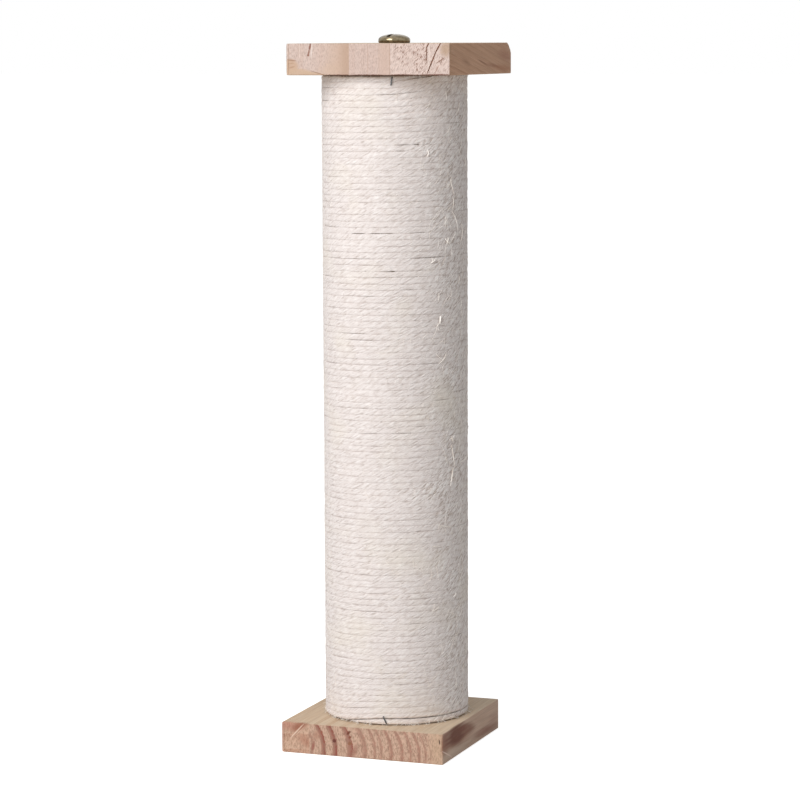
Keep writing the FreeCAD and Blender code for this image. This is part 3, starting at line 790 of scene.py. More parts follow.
@dataclass
class Plate:
    """A square plate of edge-glued pine strips, their end grain to the front and back."""

    name: str
    strips: tuple[Strip, ...]
    underside: float
    offset: tuple[float, float]
    turn: float = 0.0
    thickness: float = 18.0
    width: float = 100.0
    depth: float = 100.0
    arris: float = 0.6
    bolt_hole: float = 9.0
    recess: tuple[float, float] | None = None
    cell: float = 0.55
    knock_reach: float = 12.0
    knock_radius: float = 17.75
    knock_cuts: int = 24

    def build(self) -> None:
        """Build and dress every strip."""
        for number, strip in enumerate(self.strips):
            piece = self.build_strip(strip, seed=number + 11)
            hand_over(piece, Slot.PINE, strip.finish.material(), strip.node)

    def build_strip(self, strip: Strip, seed: int) -> bpy.types.Object:
        """One strip: a squared board with eased outer edges, a sawn end and its holes.

        Args:
            strip: the strip's place, cracks and holes.
            seed: of the torn fibres on its ends.

        Returns:
            The finished mesh.
        """
        left = self.offset[0] - self.width / 2 + strip.left
        right = self.offset[0] - self.width / 2 + strip.right
        deselect_all()
        bpy.ops.mesh.primitive_cube_add(
            size=1,
            location=mm((left + right) / 2, self.offset[1], self.underside + self.thickness / 2),
            scale=mm(right - left, self.depth, self.thickness),
        )
        piece = named(f"{self.name}_{strip.node.rsplit('_', 1)[-1]}_strip")
        settle(piece)
        self.ease_edges(piece, strip)
        self.divide_ends(piece)
        self.tear_ends(piece, seed)
        if strip.knocked_corner:
            self.knock_corner(piece)
        for crack in strip.cracks:
            cut_away(piece, self.crack_cutter(crack))
        if strip.has_bolt:
            self.drill(piece)
        if self.turn:
            choose(piece)
            piece.rotation_euler = (0.0, 0.0, math.radians(self.turn))
            settle(piece)
        face_outwards(piece)
        smooth(piece, 35)
        return piece

    def ease_edges(self, piece: bpy.types.Object, strip: Strip) -> None:
        """Round the strip's edges that lie on the plate's outline, the left ones the most.

        Args:
            piece: the mesh to shape.
            strip: says which of its sides lie on the outline.
        """
        outer = [Vector(face.value) for face in strip.outer]

        def on_outline(edge: bmesh.types.BMEdge) -> bool:
            return all(any(face.normal.dot(way) > 0.9 for way in outer) for face in edge.link_faces)

        def on_left(edge: bmesh.types.BMEdge) -> bool:
            return on_outline(edge) and any(face.normal.x < -0.9 for face in edge.link_faces)

        with editing(piece, "EDGE"):
            if pick(piece, "edges", on_left):
                bpy.ops.mesh.bevel(offset=2 * self.arris * MM, segments=4, profile=0.5)
                bpy.ops.mesh.select_all(action="DESELECT")
            pick(piece, "edges", on_outline)
            bpy.ops.mesh.bevel(offset=self.arris * MM, segments=3, profile=0.5)

    def divide_ends(self, piece: bpy.types.Object) -> None:
        """Divide the sawn ends into cells fine enough to tear."""
        corners = corners_of(piece)
        low, high = corners[:, 0].min(), corners[:, 0].max()
        columns = max(1, round((high - low) / self.thickness))
        with editing(piece):
            for column in range(1, columns):
                pick(piece, "faces", lambda face: abs(face.normal.y) > 0.99)
                cut = mm(low + (high - low) * column / columns, 0, 0)
                bpy.ops.mesh.bisect(plane_co=cut, plane_no=(1, 0, 0))
                bpy.ops.mesh.select_all(action="DESELECT")
            pick(piece, "faces", lambda face: abs(face.normal.y) > 0.99)
            bpy.ops.mesh.subdivide(number_cuts=round(self.thickness / self.cell))

    def tear_ends(self, piece: bpy.types.Object, seed: int) -> None:
        """Roughen the sawn ends: fibres torn by the blade, and a ragged arris.

        Args:
            piece: the mesh to shape.
            seed: of the torn fibres.
        """
        places = corners_of(piece)
        from_middle = places[:, 1] - self.offset[1]
        end = np.abs(from_middle) > self.depth / 2 - self.arris - 0.05
        deep = np.abs(from_middle) > self.depth / 2 - 0.01
        rng = np.random.default_rng(seed)
        torn = np.clip(0.035 + 0.035 * rng.normal(0.0, 1.0, len(places)), 0.0, 0.14)
        places[:, 1] -= np.sign(from_middle) * np.where(deep, torn, 0.0)
        places[:, 2] += np.where(end & ~deep, rng.normal(0, 0.02, len(places)), 0.0)
        places[:, 2] = np.clip(places[:, 2], self.underside, self.underside + self.thickness)
        move_corners(piece, places)

    def knock_corner(self, piece: bpy.types.Object) -> None:
        """Round the far upper corner, as after a knock."""
        half = np.array([self.width / 2, self.depth / 2, self.thickness])
        middle = np.array([*self.offset, self.underside]) + half - self.knock_reach
        with editing(piece):
            # The board is cut coarser along its length than across
            for way, spacing in (((1, 0, 0), 2), ((0, 1, 0), 3), ((0, 0, 1), 2)):
                for step in range(0, self.knock_cuts, spacing):
                    bpy.ops.mesh.select_all(action="SELECT")
                    place = np.array(way) * (middle + self.knock_reach * step / self.knock_cuts)
                    bpy.ops.mesh.bisect(plane_co=mm(*place), plane_no=way)
        places = corners_of(piece)
        arm = places - middle
        length = np.linalg.norm(arm, axis=1)
        outside = (arm > -1e-6).all(axis=1) & (length > self.knock_radius)
        places[outside] = middle + arm[outside] / length[outside, None] * self.knock_radius
        move_corners(piece, places)

    def crack_cutter(self, crack: Crack) -> bpy.types.Object:
        """A thin lens-shaped wedge, stood in the front face where a check opens.

        Args:
            crack: its place, size and lean.

        Returns:
            The wedge, to be cut out of the strip.
        """
        left, front = self.offset[0] - self.width / 2, self.offset[1] - self.depth / 2
        bpy.ops.mesh.primitive_cylinder_add(
            vertices=24,
            radius=0.5,
            depth=1.0,
            location=mm(left + crack.across, front, self.underside + crack.height),
            rotation=(math.radians(90), math.radians(crack.lean), 0),
            scale=mm(crack.width, crack.length, crack.depth),
        )
        cutter = named("crack_cutter")
        settle(cutter)
        return cutter

    def drill(self, piece: bpy.types.Object) -> None:
        """Drill for the bolt, with a counterbore from below where the plate has one."""
        below = self.underside - 1.0
        bores = [(self.bolt_hole, self.underside + self.thickness + 1.0)]
        if self.recess:
            bores.append((self.recess[0], self.underside + self.recess[1]))
        for diameter, above in bores:
            bpy.ops.mesh.primitive_cylinder_add(
                vertices=96,
                radius=diameter / 2 * MM,
                depth=(above - below) * MM,
                location=mm(0, 0, (below + above) / 2),
            )
            cut_away(piece, named("bore_cutter"))


@dataclass
class OpenGroove:
    """A stretch where two turns of rope stand apart."""

    turn: float
    span: float
    gap: float


@dataclass
class Winding:
    """Sisal rope wound in close turns, from plate to plate.

    A turn is one sweep of a flattened section. The boundary under turn t is a height that climbs
    one pitch a turn: near the plates the rope lies flat and climbs in one short step over its own
    end, and further on the climb spreads over the whole turn.
    """

    low: float = 18.2
    high: float = 392.8
    turns: int = 104
    start: float = -75.0
    end: float = -80.0
    tail: float = 55.0
    back: float = 39.05
    crest: float = 42.25
    line: float = 40.6
    cap_depth: float = 0.25
    gap: float = 0.02
    lay_angle: float = 27.0
    bundle: float = 1.15
    bundle_depth: float = 0.11
    steps_per_turn: int = 352
    pieces: int = 7
    cut_azimuth: float = 110.0
    settle_turns: float = 9.0
    felt_from: float = -62.0
    felt_rise: float = 42.0
    felt_to: float = 48.0
    felt_fall: float = 24.0
    back_around: float = 3.4
    opened: tuple[OpenGroove, ...] = ()
    across: tuple[float, ...] = (
        *(-1.0, -0.93, -0.8, -0.6, -0.37, -0.13),
        *(0.13, 0.37, 0.6, 0.8, 0.93, 1.0),
    )

    @property
    def pitch(self) -> float:
        """Height of one turn."""
        return (self.high - self.low) / self.turns

    @property
    def length(self) -> float:
        """The rope's length in turns, from its first full section to its last."""
        return self.turns + (self.end - self.start) / 360

    @property
    def turn_length(self) -> float:
        """How much rope one turn takes, in millimetres."""
        return math.tau * self.line

    @property
    def tail_turns(self) -> float:
        """Share of a turn over which each cut end thins out."""
        return self.tail / 360

    def climb(self, t: np.ndarray) -> np.ndarray:
        """How many pitches the boundary under place t lies above the base plate.

        Args:
            t: places along the rope, in turns from its start.

        Returns:
            The height of the boundary in pitches.
        """
        tail, last = self.tail_turns, self.length
        x = t - np.floor(t)
        first_step = np.where(x < 1 - tail, -x, -x + ramp((x - 1 + tail) / tail))
        y = (t - last) - np.floor(t - last)
        offset = self.turns - 1 - last
        last_step = offset + ramp(y / tail) - y
        near_start = 1 - ramp((t - 1) / self.settle_turns)
        near_end = ramp((t - last + 1 + self.settle_turns) / self.settle_turns)
        middle = -0.45 + (offset + 0.5) * np.clip(t / last, 0, 1)
        rest = 1 - near_start - near_end
        level = t + near_start * first_step + near_end * last_step + rest * middle
        level = np.where(t < 1 - tail, 0.0, level)
        return np.where(t > last + tail, float(self.turns), level)

    def boundary(self, t: np.ndarray) -> np.ndarray:
        """Height of the boundary under place t, in millimetres, with the hand-wound unevenness.

        Args:
            t: places along the rope, in turns from its start.

        Returns:
            The heights.
        """
        free = ramp((t - 1) / 1.5) * ramp((self.length - t) / 1.5)
        s = t * self.turn_length
        uneven = 0.10 * ripple(s / 31.0, 3) + 0.05 * ripple(s / 9.0, 4)
        return self.low + self.pitch * self.climb(t) + free * uneven

    def openness(self, t: np.ndarray) -> np.ndarray:
        """How far the groove over place t stands open, in millimetres.

        Args:
            t: places along the rope, in turns from its start.

        Returns:
            The gaps.
        """
        s = t * self.turn_length
        chance = ripple(s / 12.0, 5) * 0.5 + ripple(s / 37.0, 6) * 0.5
        gap = self.gap + 0.16 * ramp((chance - 0.55) / 0.2)
        for groove in self.opened:
            reach = np.abs(t - groove.turn) / groove.span
            gap = np.maximum(gap, groove.gap * (1 - ramp(reach * 2 - 1)))
        return gap

    def matted(self, azimuth: np.ndarray, height: np.ndarray) -> np.ndarray:
        """How matted the surface is, from 0 to 1: most of all on the side that faces the right.

        Args:
            azimuth: degrees round the post.
            height: millimetres above the floor.

        Returns:
            The share of felt.
        """
        side = np.mod(azimuth + 180.0, 360.0) - 180.0
        edge = 9.0 * ripple(height / 14.0, 31)
        rise = ramp((side - self.felt_from + edge) / self.felt_rise)
        zone = rise * ramp((self.felt_to - side) / self.felt_fall)
        round_it = 42.0 * np.radians(side)
        patches = ramp((relief(round_it / 16.0 + 90.0, height / 11.0, 32) - 0.25) / 0.5)
        return np.clip(zone * (0.85 + 0.15 * patches) + 0.4 * patches, 0.0, 1.0)

    def build(self, material: bpy.types.Material) -> None:
        """Build the rope in pieces that meet at the back, where no cut shows.

        Args:
            material: the yarn's finish.
        """
        first, last = -self.tail_turns * 0.93, self.length + self.tail_turns * 0.93
        behind = (self.cut_azimuth - self.start) / 360
        inner = [round((last - first) * n / self.pieces) + behind for n in range(1, self.pieces)]
        cuts = [first, *inner, last]
        for number, (begin, finish) in enumerate(zip(cuts, cuts[1:]), start=1):
            piece = self.build_piece(f"sisal_rope_{number}", begin, finish)
            hand_over(piece, Slot.SISAL, material, "sisal_rope")

    def build_piece(self, name: str, begin: float, finish: float) -> bpy.types.Object:
        """One stretch of rope: a section screwed up the post, then pressed into its real form.

        Args:
            name: the piece's name.
            begin: where it starts, in turns.
            finish: where it ends.

        Returns:
            The finished mesh.
        """
        sides = len(self.across) + 2
        steps = round((finish - begin) * self.steps_per_turn)
        deselect_all()
        bpy.ops.mesh.primitive_circle_add(
            vertices=sides,
            radius=self.pitch / 2 * MM,
            location=mm(self.crest, 0, 0),
            rotation=(math.radians(90), 0, 0),
        )
        piece = named(name)
        settle(piece)
        apply_modifier(
            piece,
            "SCREW",
            angle=(finish - begin) * math.tau,
            screw_offset=(finish - begin) * self.pitch * MM,
            steps=steps,
            render_steps=steps,
            use_merge_vertices=False,
        )
        self.press(piece, begin, finish, steps, sides)
        with editing(piece, "VERT"):
            for first in (0, steps * sides):
                bpy.ops.mesh.select_all(action="DESELECT")
                pick(piece, "verts", lambda v: first <= v.index < first + sides)
                bpy.ops.mesh.edge_face_add()
        face_outwards(piece)
        smooth(piece, 80)
        return piece

    def press(
        self, piece: bpy.types.Object, begin: float, finish: float, steps: int, sides: int
    ) -> None:
        """Give the swept section its pressed form, its fibre bundles and its lay map.

        Args:
            piece: the mesh to shape.
            begin: where the stretch starts, in turns.
            finish: where it ends.
            steps: how many sections it has along its length.
            sides: how many vertices a section has.
        """
        t = np.linspace(begin, finish, steps + 1)[:, None]
        s = t * self.turn_length
        under = self.boundary(t) + self.openness(t - 1) / 2
        over = self.boundary(t + 1) - self.openness(t) / 2
        under = np.where(t < 1 - self.tail_turns, self.low, under)
        over = np.where(t > self.length - 1 + self.tail_turns, self.high, over)
        over = np.maximum(over, under + 0.15)
        thick = np.clip((over - under) / self.pitch, 0.12, 1.0) ** 0.6
        middle, half = (under + over) / 2, (over - under) / 2

        # u runs over the section from its lower edge to its upper one, and s along the rope
        u = np.array(self.across)[None, :]
        v = u * self.pitch / 2
        height = middle + half * u
        angle = math.radians(self.lay_angle)
        # Bundles of fibres slant across the turn, each with a round back
        phase = (v * math.cos(angle) - s * math.sin(angle)) / self.bundle
        wobble = 0.35 * ripple(s / 17.0, 7) + 0.2 * ripple(s / 5.0 + 3.0 * u, 8)
        whole = np.floor(phase + wobble)
        share = phase + wobble - whole
        bulge = np.sin(np.pi * share) ** 0.7
        swell = 0.6 + 0.4 * np.sin(whole * 12.9898) ** 2
        turned = math.radians(self.start) + t * math.tau
        felt = self.matted(np.degrees(turned), middle)
        patches = 0.65 + 0.45 * relief(s / 24.0, middle / 13.0, 35)
        # The turn's edges fall back into the grooves, most of all where a groove stands open
        cap = self.cap_depth * (1 + 0.8 * ripple(s / 9.0, 9)) * patches * (1 - 0.5 * felt)
        open_edge = np.where(u > 0, self.openness(t), self.openness(t - 1))
        cap = cap + 0.9 * np.clip(open_edge - self.gap, 0, 1) * (1 - 0.6 * felt)
        lowest = (1 - ramp(t - 0.8)) * (u < 0)
        highest = ramp(t - self.length + 1.0) * (u > 0)
        cap = cap + (1.7 * lowest + 1.8 * highest) * (1 + 0.3 * ripple(s / 6.0, 12))
        outer = self.crest + 0.10 * ripple(s / 60.0, 10) - cap * np.abs(u) ** 3.4
        outer = outer - self.bundle_depth * (1 - bulge) * swell * (1 - 0.65 * felt)
        mat_noise = relief((s + 1.4 * height) / 3.2, (height - 0.7 * s) / 1.2, 33)
        outer = outer + felt * (0.07 * mat_noise + 0.07 * relief(s / 5.0, middle / 4.0, 34))
        radius = self.back + (outer - self.back) * thick
        back = np.full_like(t, self.back)
        radius = np.hstack([radius, back, back])
        height = np.hstack([height, over - 0.15 * half, under + 0.15 * half])

        places = np.stack([radius * np.cos(turned), radius * np.sin(turned), height], axis=2)
        move_corners(piece, places.reshape(-1, 3))

        behind = self.back_around + 0 * t
        around = np.hstack([v + 0 * t, behind, -behind])
        lay = np.stack([np.broadcast_to(s, around.shape), around], axis=2)
        # Painted shade for the end turns where they meet the plates, carried on the groove attribute
        # above 1
        contact_shade = lowest * ramp((-u - 0.35) / 0.35) + highest * ramp((u - 0.25) / 0.4)
        groove = np.hstack([np.abs(u) ** 6 * (1 - 0.5 * felt) + contact_shade, np.ones((len(t), 2))])
        self.map_fibres(piece, lay.reshape(-1, 2), {GROOVE: groove, FELT: felt + 0 * groove})

    @staticmethod
    def map_fibres(
        piece: bpy.types.Object, lay: np.ndarray, layers: Mapping[str, np.ndarray]
    ) -> None:
        """Give a stretch of rope the maps that its finish reads.

        Args:
            piece: the stretch.
            lay: for each vertex, the way along and around the rope in millimetres.
            layers: a number for each vertex, under the attribute's name.
        """
        for layer in list(piece.data.uv_layers):
            piece.data.uv_layers.remove(layer)
        uv_map = piece.data.uv_layers.new(name=LAY_MAP)
        corner = np.empty(len(piece.data.loops), dtype=int)
        piece.data.loops.foreach_get("vertex_index", corner)
        uv_map.uv.foreach_set("vector", lay[corner].astype(np.float32).ravel())
        for name, amounts in layers.items():
            attribute = piece.data.attributes.new(name, "FLOAT", "POINT")
            attribute.data.foreach_set("value", amounts.astype(np.float32).ravel())


@dataclass
class Fibre:
    """A loose fibre on the winding: its root, its way over the surface and its length.

    The turn and the heading are degrees, round the post and above the level. The rest is in
    millimetres, and curl is how far the heading turns from root to tip.
    """

    turn: float
    height: float
    heading: float
    length: float
    curl: float = 0.0
    lift: float = 0.6
    width: float = 0.2


@dataclass
class Fuzz:
    """Loose fibres on the winding. One tapered fibre is modelled, and each copy is bent its own way."""

    shown: tuple[Fibre, ...]
    count: int = 3000
    fringe: int = 260
    seed: int = 21
    surface: float = 41.9
    low: float = 19.0
    high: float = 392.0
    floor: float = 18.3
    ceiling: float = 392.7
    stuck_share: float = 0.55
    matted_share: float = 0.4
    matted_azimuth: float = -14.0
    bend_steps: int = 32

    def build(self, material: bpy.types.Material) -> None:
        """Scatter the fibres over the winding.

        Args:
            material: the fibres' finish.
        """
        shape, faces = self.model_fibre()
        rng = np.random.default_rng(self.seed)
        fibres = list(self.shown)
        for _ in range(self.count):
            # Most lie along the rope's lay; the rest point anywhere
            stuck = rng.random() < self.stuck_share
            matted = rng.random() < self.matted_share
            loose = rng.normal(85, 40) if matted else rng.uniform(-180, 180)
            heading = rng.normal(25, 18) if stuck else loose
            fibres.append(
                Fibre(
                    turn=rng.normal(self.matted_azimuth, 20) if matted else rng.uniform(-180, 180),
                    height=rng.uniform(self.low, self.high),
                    heading=heading,
                    length=rng.uniform(3, 8) if stuck else rng.gamma(2.2, 2.6) + 2,
                    curl=rng.normal(0, 45),
                    lift=rng.uniform(0.1, 0.35) if stuck else rng.gamma(2, 0.25),
                    width=rng.uniform(0.1, 0.2),
                )
            )
        for number in range(self.fringe):
            # A short fringe where the rope meets the plates
            at_top = number % 3 == 0
            fibres.append(
                Fibre(
                    turn=rng.uniform(-180, 180),
                    height=self.high - 0.6 if at_top else self.low + rng.uniform(0.4, 1.8),
                    heading=rng.normal(90 if at_top else -90, 45),
                    length=rng.uniform(1.8, 5.5),
                    curl=rng.normal(0, 60),
                    lift=rng.uniform(0.3, 1.0) if at_top else rng.gamma(2.5, 0.7),
                    width=rng.uniform(0.15, 0.34),
                )
            )
        points = np.concatenate([self.bend(shape, fibre) for fibre in fibres])
        size = len(shape)
        copies = [
            tuple(corner + number * size for corner in face)
            for number in range(len(fibres))
            for face in faces
        ]
        piece = mesh_object("loose_fibres", points, faces=copies)
        face_outwards(piece)
        smooth(piece, 60)
        hand_over(piece, Slot.SISAL, material)

    @staticmethod
    def model_fibre() -> tuple[np.ndarray, list[tuple[int, ...]]]:
        """Model one straight fibre of unit length and width, tapered at both ends.

        Returns:
            Its points, with the length along Z, and its faces.
        """
        deselect_all()
        bpy.ops.mesh.primitive_cylinder_add(vertices=3, radius=0.5, depth=1, location=(0, 0, 0.5))
        piece = named("one_fibre")
        settle(piece)
        with editing(piece):
            for share in (0.12, 0.3, 0.5, 0.7, 0.88):
                bpy.ops.mesh.select_all(action="SELECT")
                bpy.ops.mesh.bisect(plane_co=(0, 0, share), plane_no=(0, 0, 1))
        shape = corners_of(piece) * MM
        taper = np.interp(shape[:, 2], (0, 0.12, 0.7, 1), (0.6, 1, 0.8, 0.25))
        shape[:, :2] *= taper[:, None]
        faces = [tuple(face.vertices) for face in piece.data.polygons]
        bpy.data.objects.remove(piece)
        return shape, faces

    def bend(self, shape: np.ndarray, fibre: Fibre) -> np.ndarray:
        """Bend a copy of the fibre over the winding.

        Args:
            shape: the straight fibre's points.
            fibre: where it lies and how it bends.

        Returns:
            The copy's points.
        """
        share = shape[:, 2]
        fine = np.linspace(0, 1, self.bend_steps + 1)
        heading = np.radians(fibre.heading + fibre.curl * fine)
        step = fibre.length / self.bend_steps
        along = np.concatenate([[0], np.cumsum(np.cos(heading[:-1]) * step)])
        up = np.concatenate([[0], np.cumsum(np.sin(heading[:-1]) * step)])
        lift = fibre.lift * np.sin(np.pi * np.clip(fine * 0.75, 0, 1))
        a = np.interp(share, fine, along)
        b = np.interp(share, fine, up)
        c = self.surface + np.interp(share, fine, lift)
        way = np.interp(share, fine, heading)
        side, out = shape[:, 0] * fibre.width, shape[:, 1] * fibre.width
        a, b, c = a - side * np.sin(way), b + side * np.cos(way), c + out
        turned = math.radians(fibre.turn) + a / self.surface
        height = np.clip(fibre.height + b, self.floor, self.ceiling)
        return np.stack([c * np.cos(turned), c * np.sin(turned), height], axis=1)


@dataclass
class RopeStaple:
    """A wire staple driven over an end of the rope."""

    node: str
    turn: float
    height: float
    lean: float
    crown: float = 5.1
    leg: float = 6.0
    wire: float = 0.75
    face: float = 42.95
    bend: float = 0.6

    def build(self, material: bpy.types.Material) -> None:
        """Extrude the wire up one leg, round the crown and down the other leg.

        Args:
            material: the wire's finish.
        """
        deselect_all()
        half = self.crown / 2 - self.wire / 2
        bpy.ops.mesh.primitive_circle_add(
            vertices=12,
            radius=self.wire / 2 * MM,
            fill_type="NGON",
            location=mm(-self.leg, 0, -half),
            rotation=(0, math.radians(90), 0),
        )
        piece = named(f"{self.node.replace('rope_staple', 'wire')}_staple")
        settle(piece)
        straight, up = self.leg - self.bend, half - self.bend
        with editing(piece):
            bpy.ops.mesh.select_all(action="SELECT")
            self.draw_out(straight, 0)
            self.turn_corner(-up)
            self.draw_out(0, 2 * up)
            self.turn_corner(up)
            self.draw_out(-straight, 0)
        face_outwards(piece)
        choose(piece)
        piece.rotation_euler = (math.radians(self.lean), 0, 0)
        settle(piece)
        piece.location = mm(self.face, 0, 0)
        settle(piece)
        piece.rotation_euler = (0, 0, math.radians(self.turn))
        piece.location = mm(0, 0, self.height)
        settle(piece)
        smooth(piece, 40)
        hand_over(piece, Slot.STAPLE_WIRE, material, self.node)

    @staticmethod
    def draw_out(outward: float, up: float) -> None:
        """Extrude the selected end in the staple's plane."""
        bpy.ops.mesh.extrude_region_move(TRANSFORM_OT_translate={"value": mm(outward, 0, up)})

    def turn_corner(self, height: float) -> None:
        """Spin the selected end a quarter turn, about a point one bend radius behind the crown."""
        centre = mm(-self.bend, 0, height)
        bpy.ops.mesh.spin(steps=5, angle=math.radians(90), center=centre, axis=(0, 1, 0))


@dataclass
class DomedBolt:
    """A domed, slotted machine bolt. Its seat is at z 0 and its shank points down."""

    name: str
    seat: float
    upside_down: bool
    slot_turn: float
    head_radius: float = 9.3
    head_height: float = 5.2
    shank_radius: float = 4.0
    length: float = 40.0
    slot_width: float = 2.2
    slot_depth: float = 1.7
    thread_pitch: float = 1.25
    thread_length: float = 28.0
    rows_per_thread: int = 8

    def build(self, material: bpy.types.Material) -> None:
        """Spin the head, cut its slot, thread the shank and set the bolt in place.

        Args:
            material: the bolt's finish.
        """
        piece = self.spin_head()
        self.cut_slot(piece)
        self.thread(piece)
        face_outwards(piece)
        choose(piece)
        flip = math.radians(180) if self.upside_down else 0.0
        piece.rotation_euler = (flip, 0, math.radians(self.slot_turn))
        piece.location = mm(0, 0, self.seat)
        settle(piece)
        smooth(piece, 32)
        hand_over(piece, Slot.ZINC_YELLOW, material, "bolts")

    def spin_head(self) -> bpy.types.Object:
        """Spin the bolt's outline about its axis."""
        r = self.head_radius
        dome = [
            (r * math.cos(a), 1.9 + (self.head_height - 1.9) * math.sin(a))
            for a in np.radians(np.linspace(12, 90, 12))
        ]
        dome[-1] = (0.0, self.head_height)
        rim = [(r - 0.6, 0.0), (r - 0.25, 0.25), (r - 0.05, 0.8), (r, 1.4), (r - 0.03, 2.0)]
        shank = [(0.0, -self.length), (self.shank_radius - 1.0, -self.length)]
        count = round(self.thread_length / self.thread_pitch * self.rows_per_thread)
        shank += [
            (self.shank_radius, -self.length + 0.8 + (self.thread_length - 0.8) * n / count)
            for n in range(count + 1)
        ]
        shank += [(self.shank_radius, -0.4), (self.shank_radius + 0.4, 0.0)]
        outline = shank + rim + dome
        points = np.array([(x, 0.0, z) for x, z in outline])
        piece = mesh_object(self.name, points, [(n, n + 1) for n in range(len(points) - 1)])
        with editing(piece, "VERT"):
            bpy.ops.mesh.select_all(action="SELECT")
            bpy.ops.mesh.spin(steps=48, angle=math.tau, center=(0, 0, 0), axis=(0, 0, 1))
            bpy.ops.mesh.select_all(action="SELECT")
            bpy.ops.mesh.remove_doubles(threshold=0.001 * MM)
        face_outwards(piece)
        return piece

    def cut_slot(self, piece: bpy.types.Object) -> None:
        """Mill the driver slot across the dome."""
        bpy.ops.mesh.primitive_cube_add(
            size=1,
            location=mm(0, 0, self.head_height - self.slot_depth + 2.0),
            scale=mm(3 * self.head_radius, self.slot_width, 4.0),
        )
        cutter = named("slot_cutter")
        settle(cutter)
        cut_away(piece, cutter)

    def thread(self, piece: bpy.types.Object) -> None:
        """Cut the thread: a V that runs round the shank."""
        places = corners_of(piece)
        radius = np.hypot(places[:, 0], places[:, 1])
        turn = np.arctan2(places[:, 1], places[:, 0]) / math.tau
        top = -self.length + self.thread_length
        on_shank = (np.abs(radius - self.shank_radius) < 0.05) & (places[:, 2] < top)
        share = np.mod(places[:, 2] / self.thread_pitch - turn, 1.0)
        fade = ramp((top - places[:, 2]) / 2.0) * ramp((places[:, 2] + self.length - 0.6) / 1.5)
        depth = 0.6 * self.thread_pitch * np.abs(share * 2 - 1) * fade
        scale = np.where(on_shank, (self.shank_radius - depth) / np.maximum(radius, 1e-6), 1.0)
        places[:, :2] *= scale[:, None]
        move_corners(piece, places)


@dataclass
class Core:
    """What the rope is wound on and the bolts pull on: these pieces keep their solids."""

    finishes: dict[str, tuple[Slot, Finish]]

    def dress(self) -> None:
        """Give each kept solid its finish."""
        for node, (slot, finish) in self.finishes.items():
            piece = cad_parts[node]
            piece.data.materials.clear()
            piece.data.materials.append(finish.material())
            log.info("%s keeps its solid", node)


@dataclass
class Studio:
    """The floor, the light and the camera, set as in the photograph."""

    focal_pixels: float = 3019.9
    picture: int = 800
    sensor: float = 36.0
    azimuth: float = 20.466
    distance: float = 1757.6
    height: float = 414.4
    pitch_down: float = 6.853
    roll: float = -0.23
    sideways: float = 2.48

    def build(self) -> None:
        """Lay the floor, light the room and set the camera."""
        deselect_all()
        bpy.ops.mesh.primitive_plane_add(size=60, location=(0, 0, 0))
        floor = named("floor")
        floor.data.materials.append(PaperFloor("white_paper_floor").material())
        self.light_room()
        self.add_lamp("key_softbox", azimuth=252.0, elevation=30.0, away=2.4, size=1.5, power=44.0)
        self.place_camera()

    @staticmethod
    def light_room() -> None:
        """A pale room that looks white wherever it is seen."""
        world = bpy.data.worlds.new("white_room")
        bpy.context.scene.world = world
        world.use_nodes = True
        tree = world.node_tree
        node = partial(add_node, tree)
        strength = node("MapRange", (shown(node), 0.0, 1.0, 0.36, 1.0))
        background = tree.nodes["Background"].inputs
        tree.links.new(strength, background["Strength"])
        background["Color"].default_value = (1, 1, 1, 1)

    @staticmethod
    def add_lamp(
        name: str, azimuth: float, elevation: float, away: float, size: float, power: float
    ) -> None:
        """Hang a square soft lamp that faces the middle of the post.

        Args:
            name: the lamp's name.
            azimuth: degrees from +X, anticlockwise from above.
            elevation: degrees above the horizon.
            away: metres from the post.
            size: metres along a side.
            power: watts.
        """
        a, e = math.radians(azimuth), math.radians(elevation)
        way = Vector((math.cos(a) * math.cos(e), math.sin(a) * math.cos(e), math.sin(e)))
        deselect_all()
        bpy.ops.object.light_add(type="AREA", location=Vector((0, 0, 0.2)) + way * away)
        lamp = bpy.context.object
        lamp.name = name
        lamp.rotation_euler = way.to_track_quat("Z", "Y").to_euler()
        lamp.data.shape = "SQUARE"
        lamp.data.size = size
        lamp.data.energy = power

    def place_camera(self) -> None:
        """Set the camera where the photograph was taken from."""
        a, p, roll = (math.radians(x) for x in (self.azimuth, self.pitch_down, self.roll))
        right = Vector((math.cos(a), math.sin(a), 0))
        ahead = Vector((-math.sin(a) * math.cos(p), math.cos(a) * math.cos(p), -math.sin(p)))
        up = right.cross(ahead)
        across = right * math.cos(roll) + up * math.sin(roll)
        upright = up * math.cos(roll) - right * math.sin(roll)
        deselect_all()
        bpy.ops.object.camera_add()
        camera = bpy.context.object
        camera.name = "photo_camera"
        place = Vector((self.distance * math.sin(a), -self.distance * math.cos(a), self.height))
        place = (place + right * self.sideways) * MM
        turn = Matrix((across, upright, -ahead)).transposed()
        camera.matrix_world = Matrix.Translation(place) @ turn.to_4x4()
        camera.data.sensor_width = self.sensor
        camera.data.lens = self.focal_pixels * self.sensor / self.picture
        camera.data.clip_start, camera.data.clip_end = 0.05, 50.0
        bpy.context.scene.camera = camera
        bpy.context.scene.view_settings.view_transform = "Standard"


# This post's own pieces. A plate's face is measured from its lower left corner.

BASE_OFFSET = (-2.8, -1.6)
TOP_OFFSET = (3.05, 1.6)
TOP_TURN = -1.7
TOP_UNDERSIDE = 393.0
AROUND = (Face.FRONT, Face.BACK, Face.TOP, Face.BOTTOM)
BASE_FRONT = (BASE_OFFSET[0] - 50, BASE_OFFSET[1] - 50, 0.0)
BASE_SIDE = (BASE_OFFSET[0] + 50, BASE_OFFSET[1] - 50, 0.0)
TOP_FRONT = (TOP_OFFSET[0] - 50, TOP_OFFSET[1] - 50, TOP_UNDERSIDE)
TOP_SIDE = (TOP_OFFSET[0] + 50, TOP_OFFSET[1] - 50, TOP_UNDERSIDE)


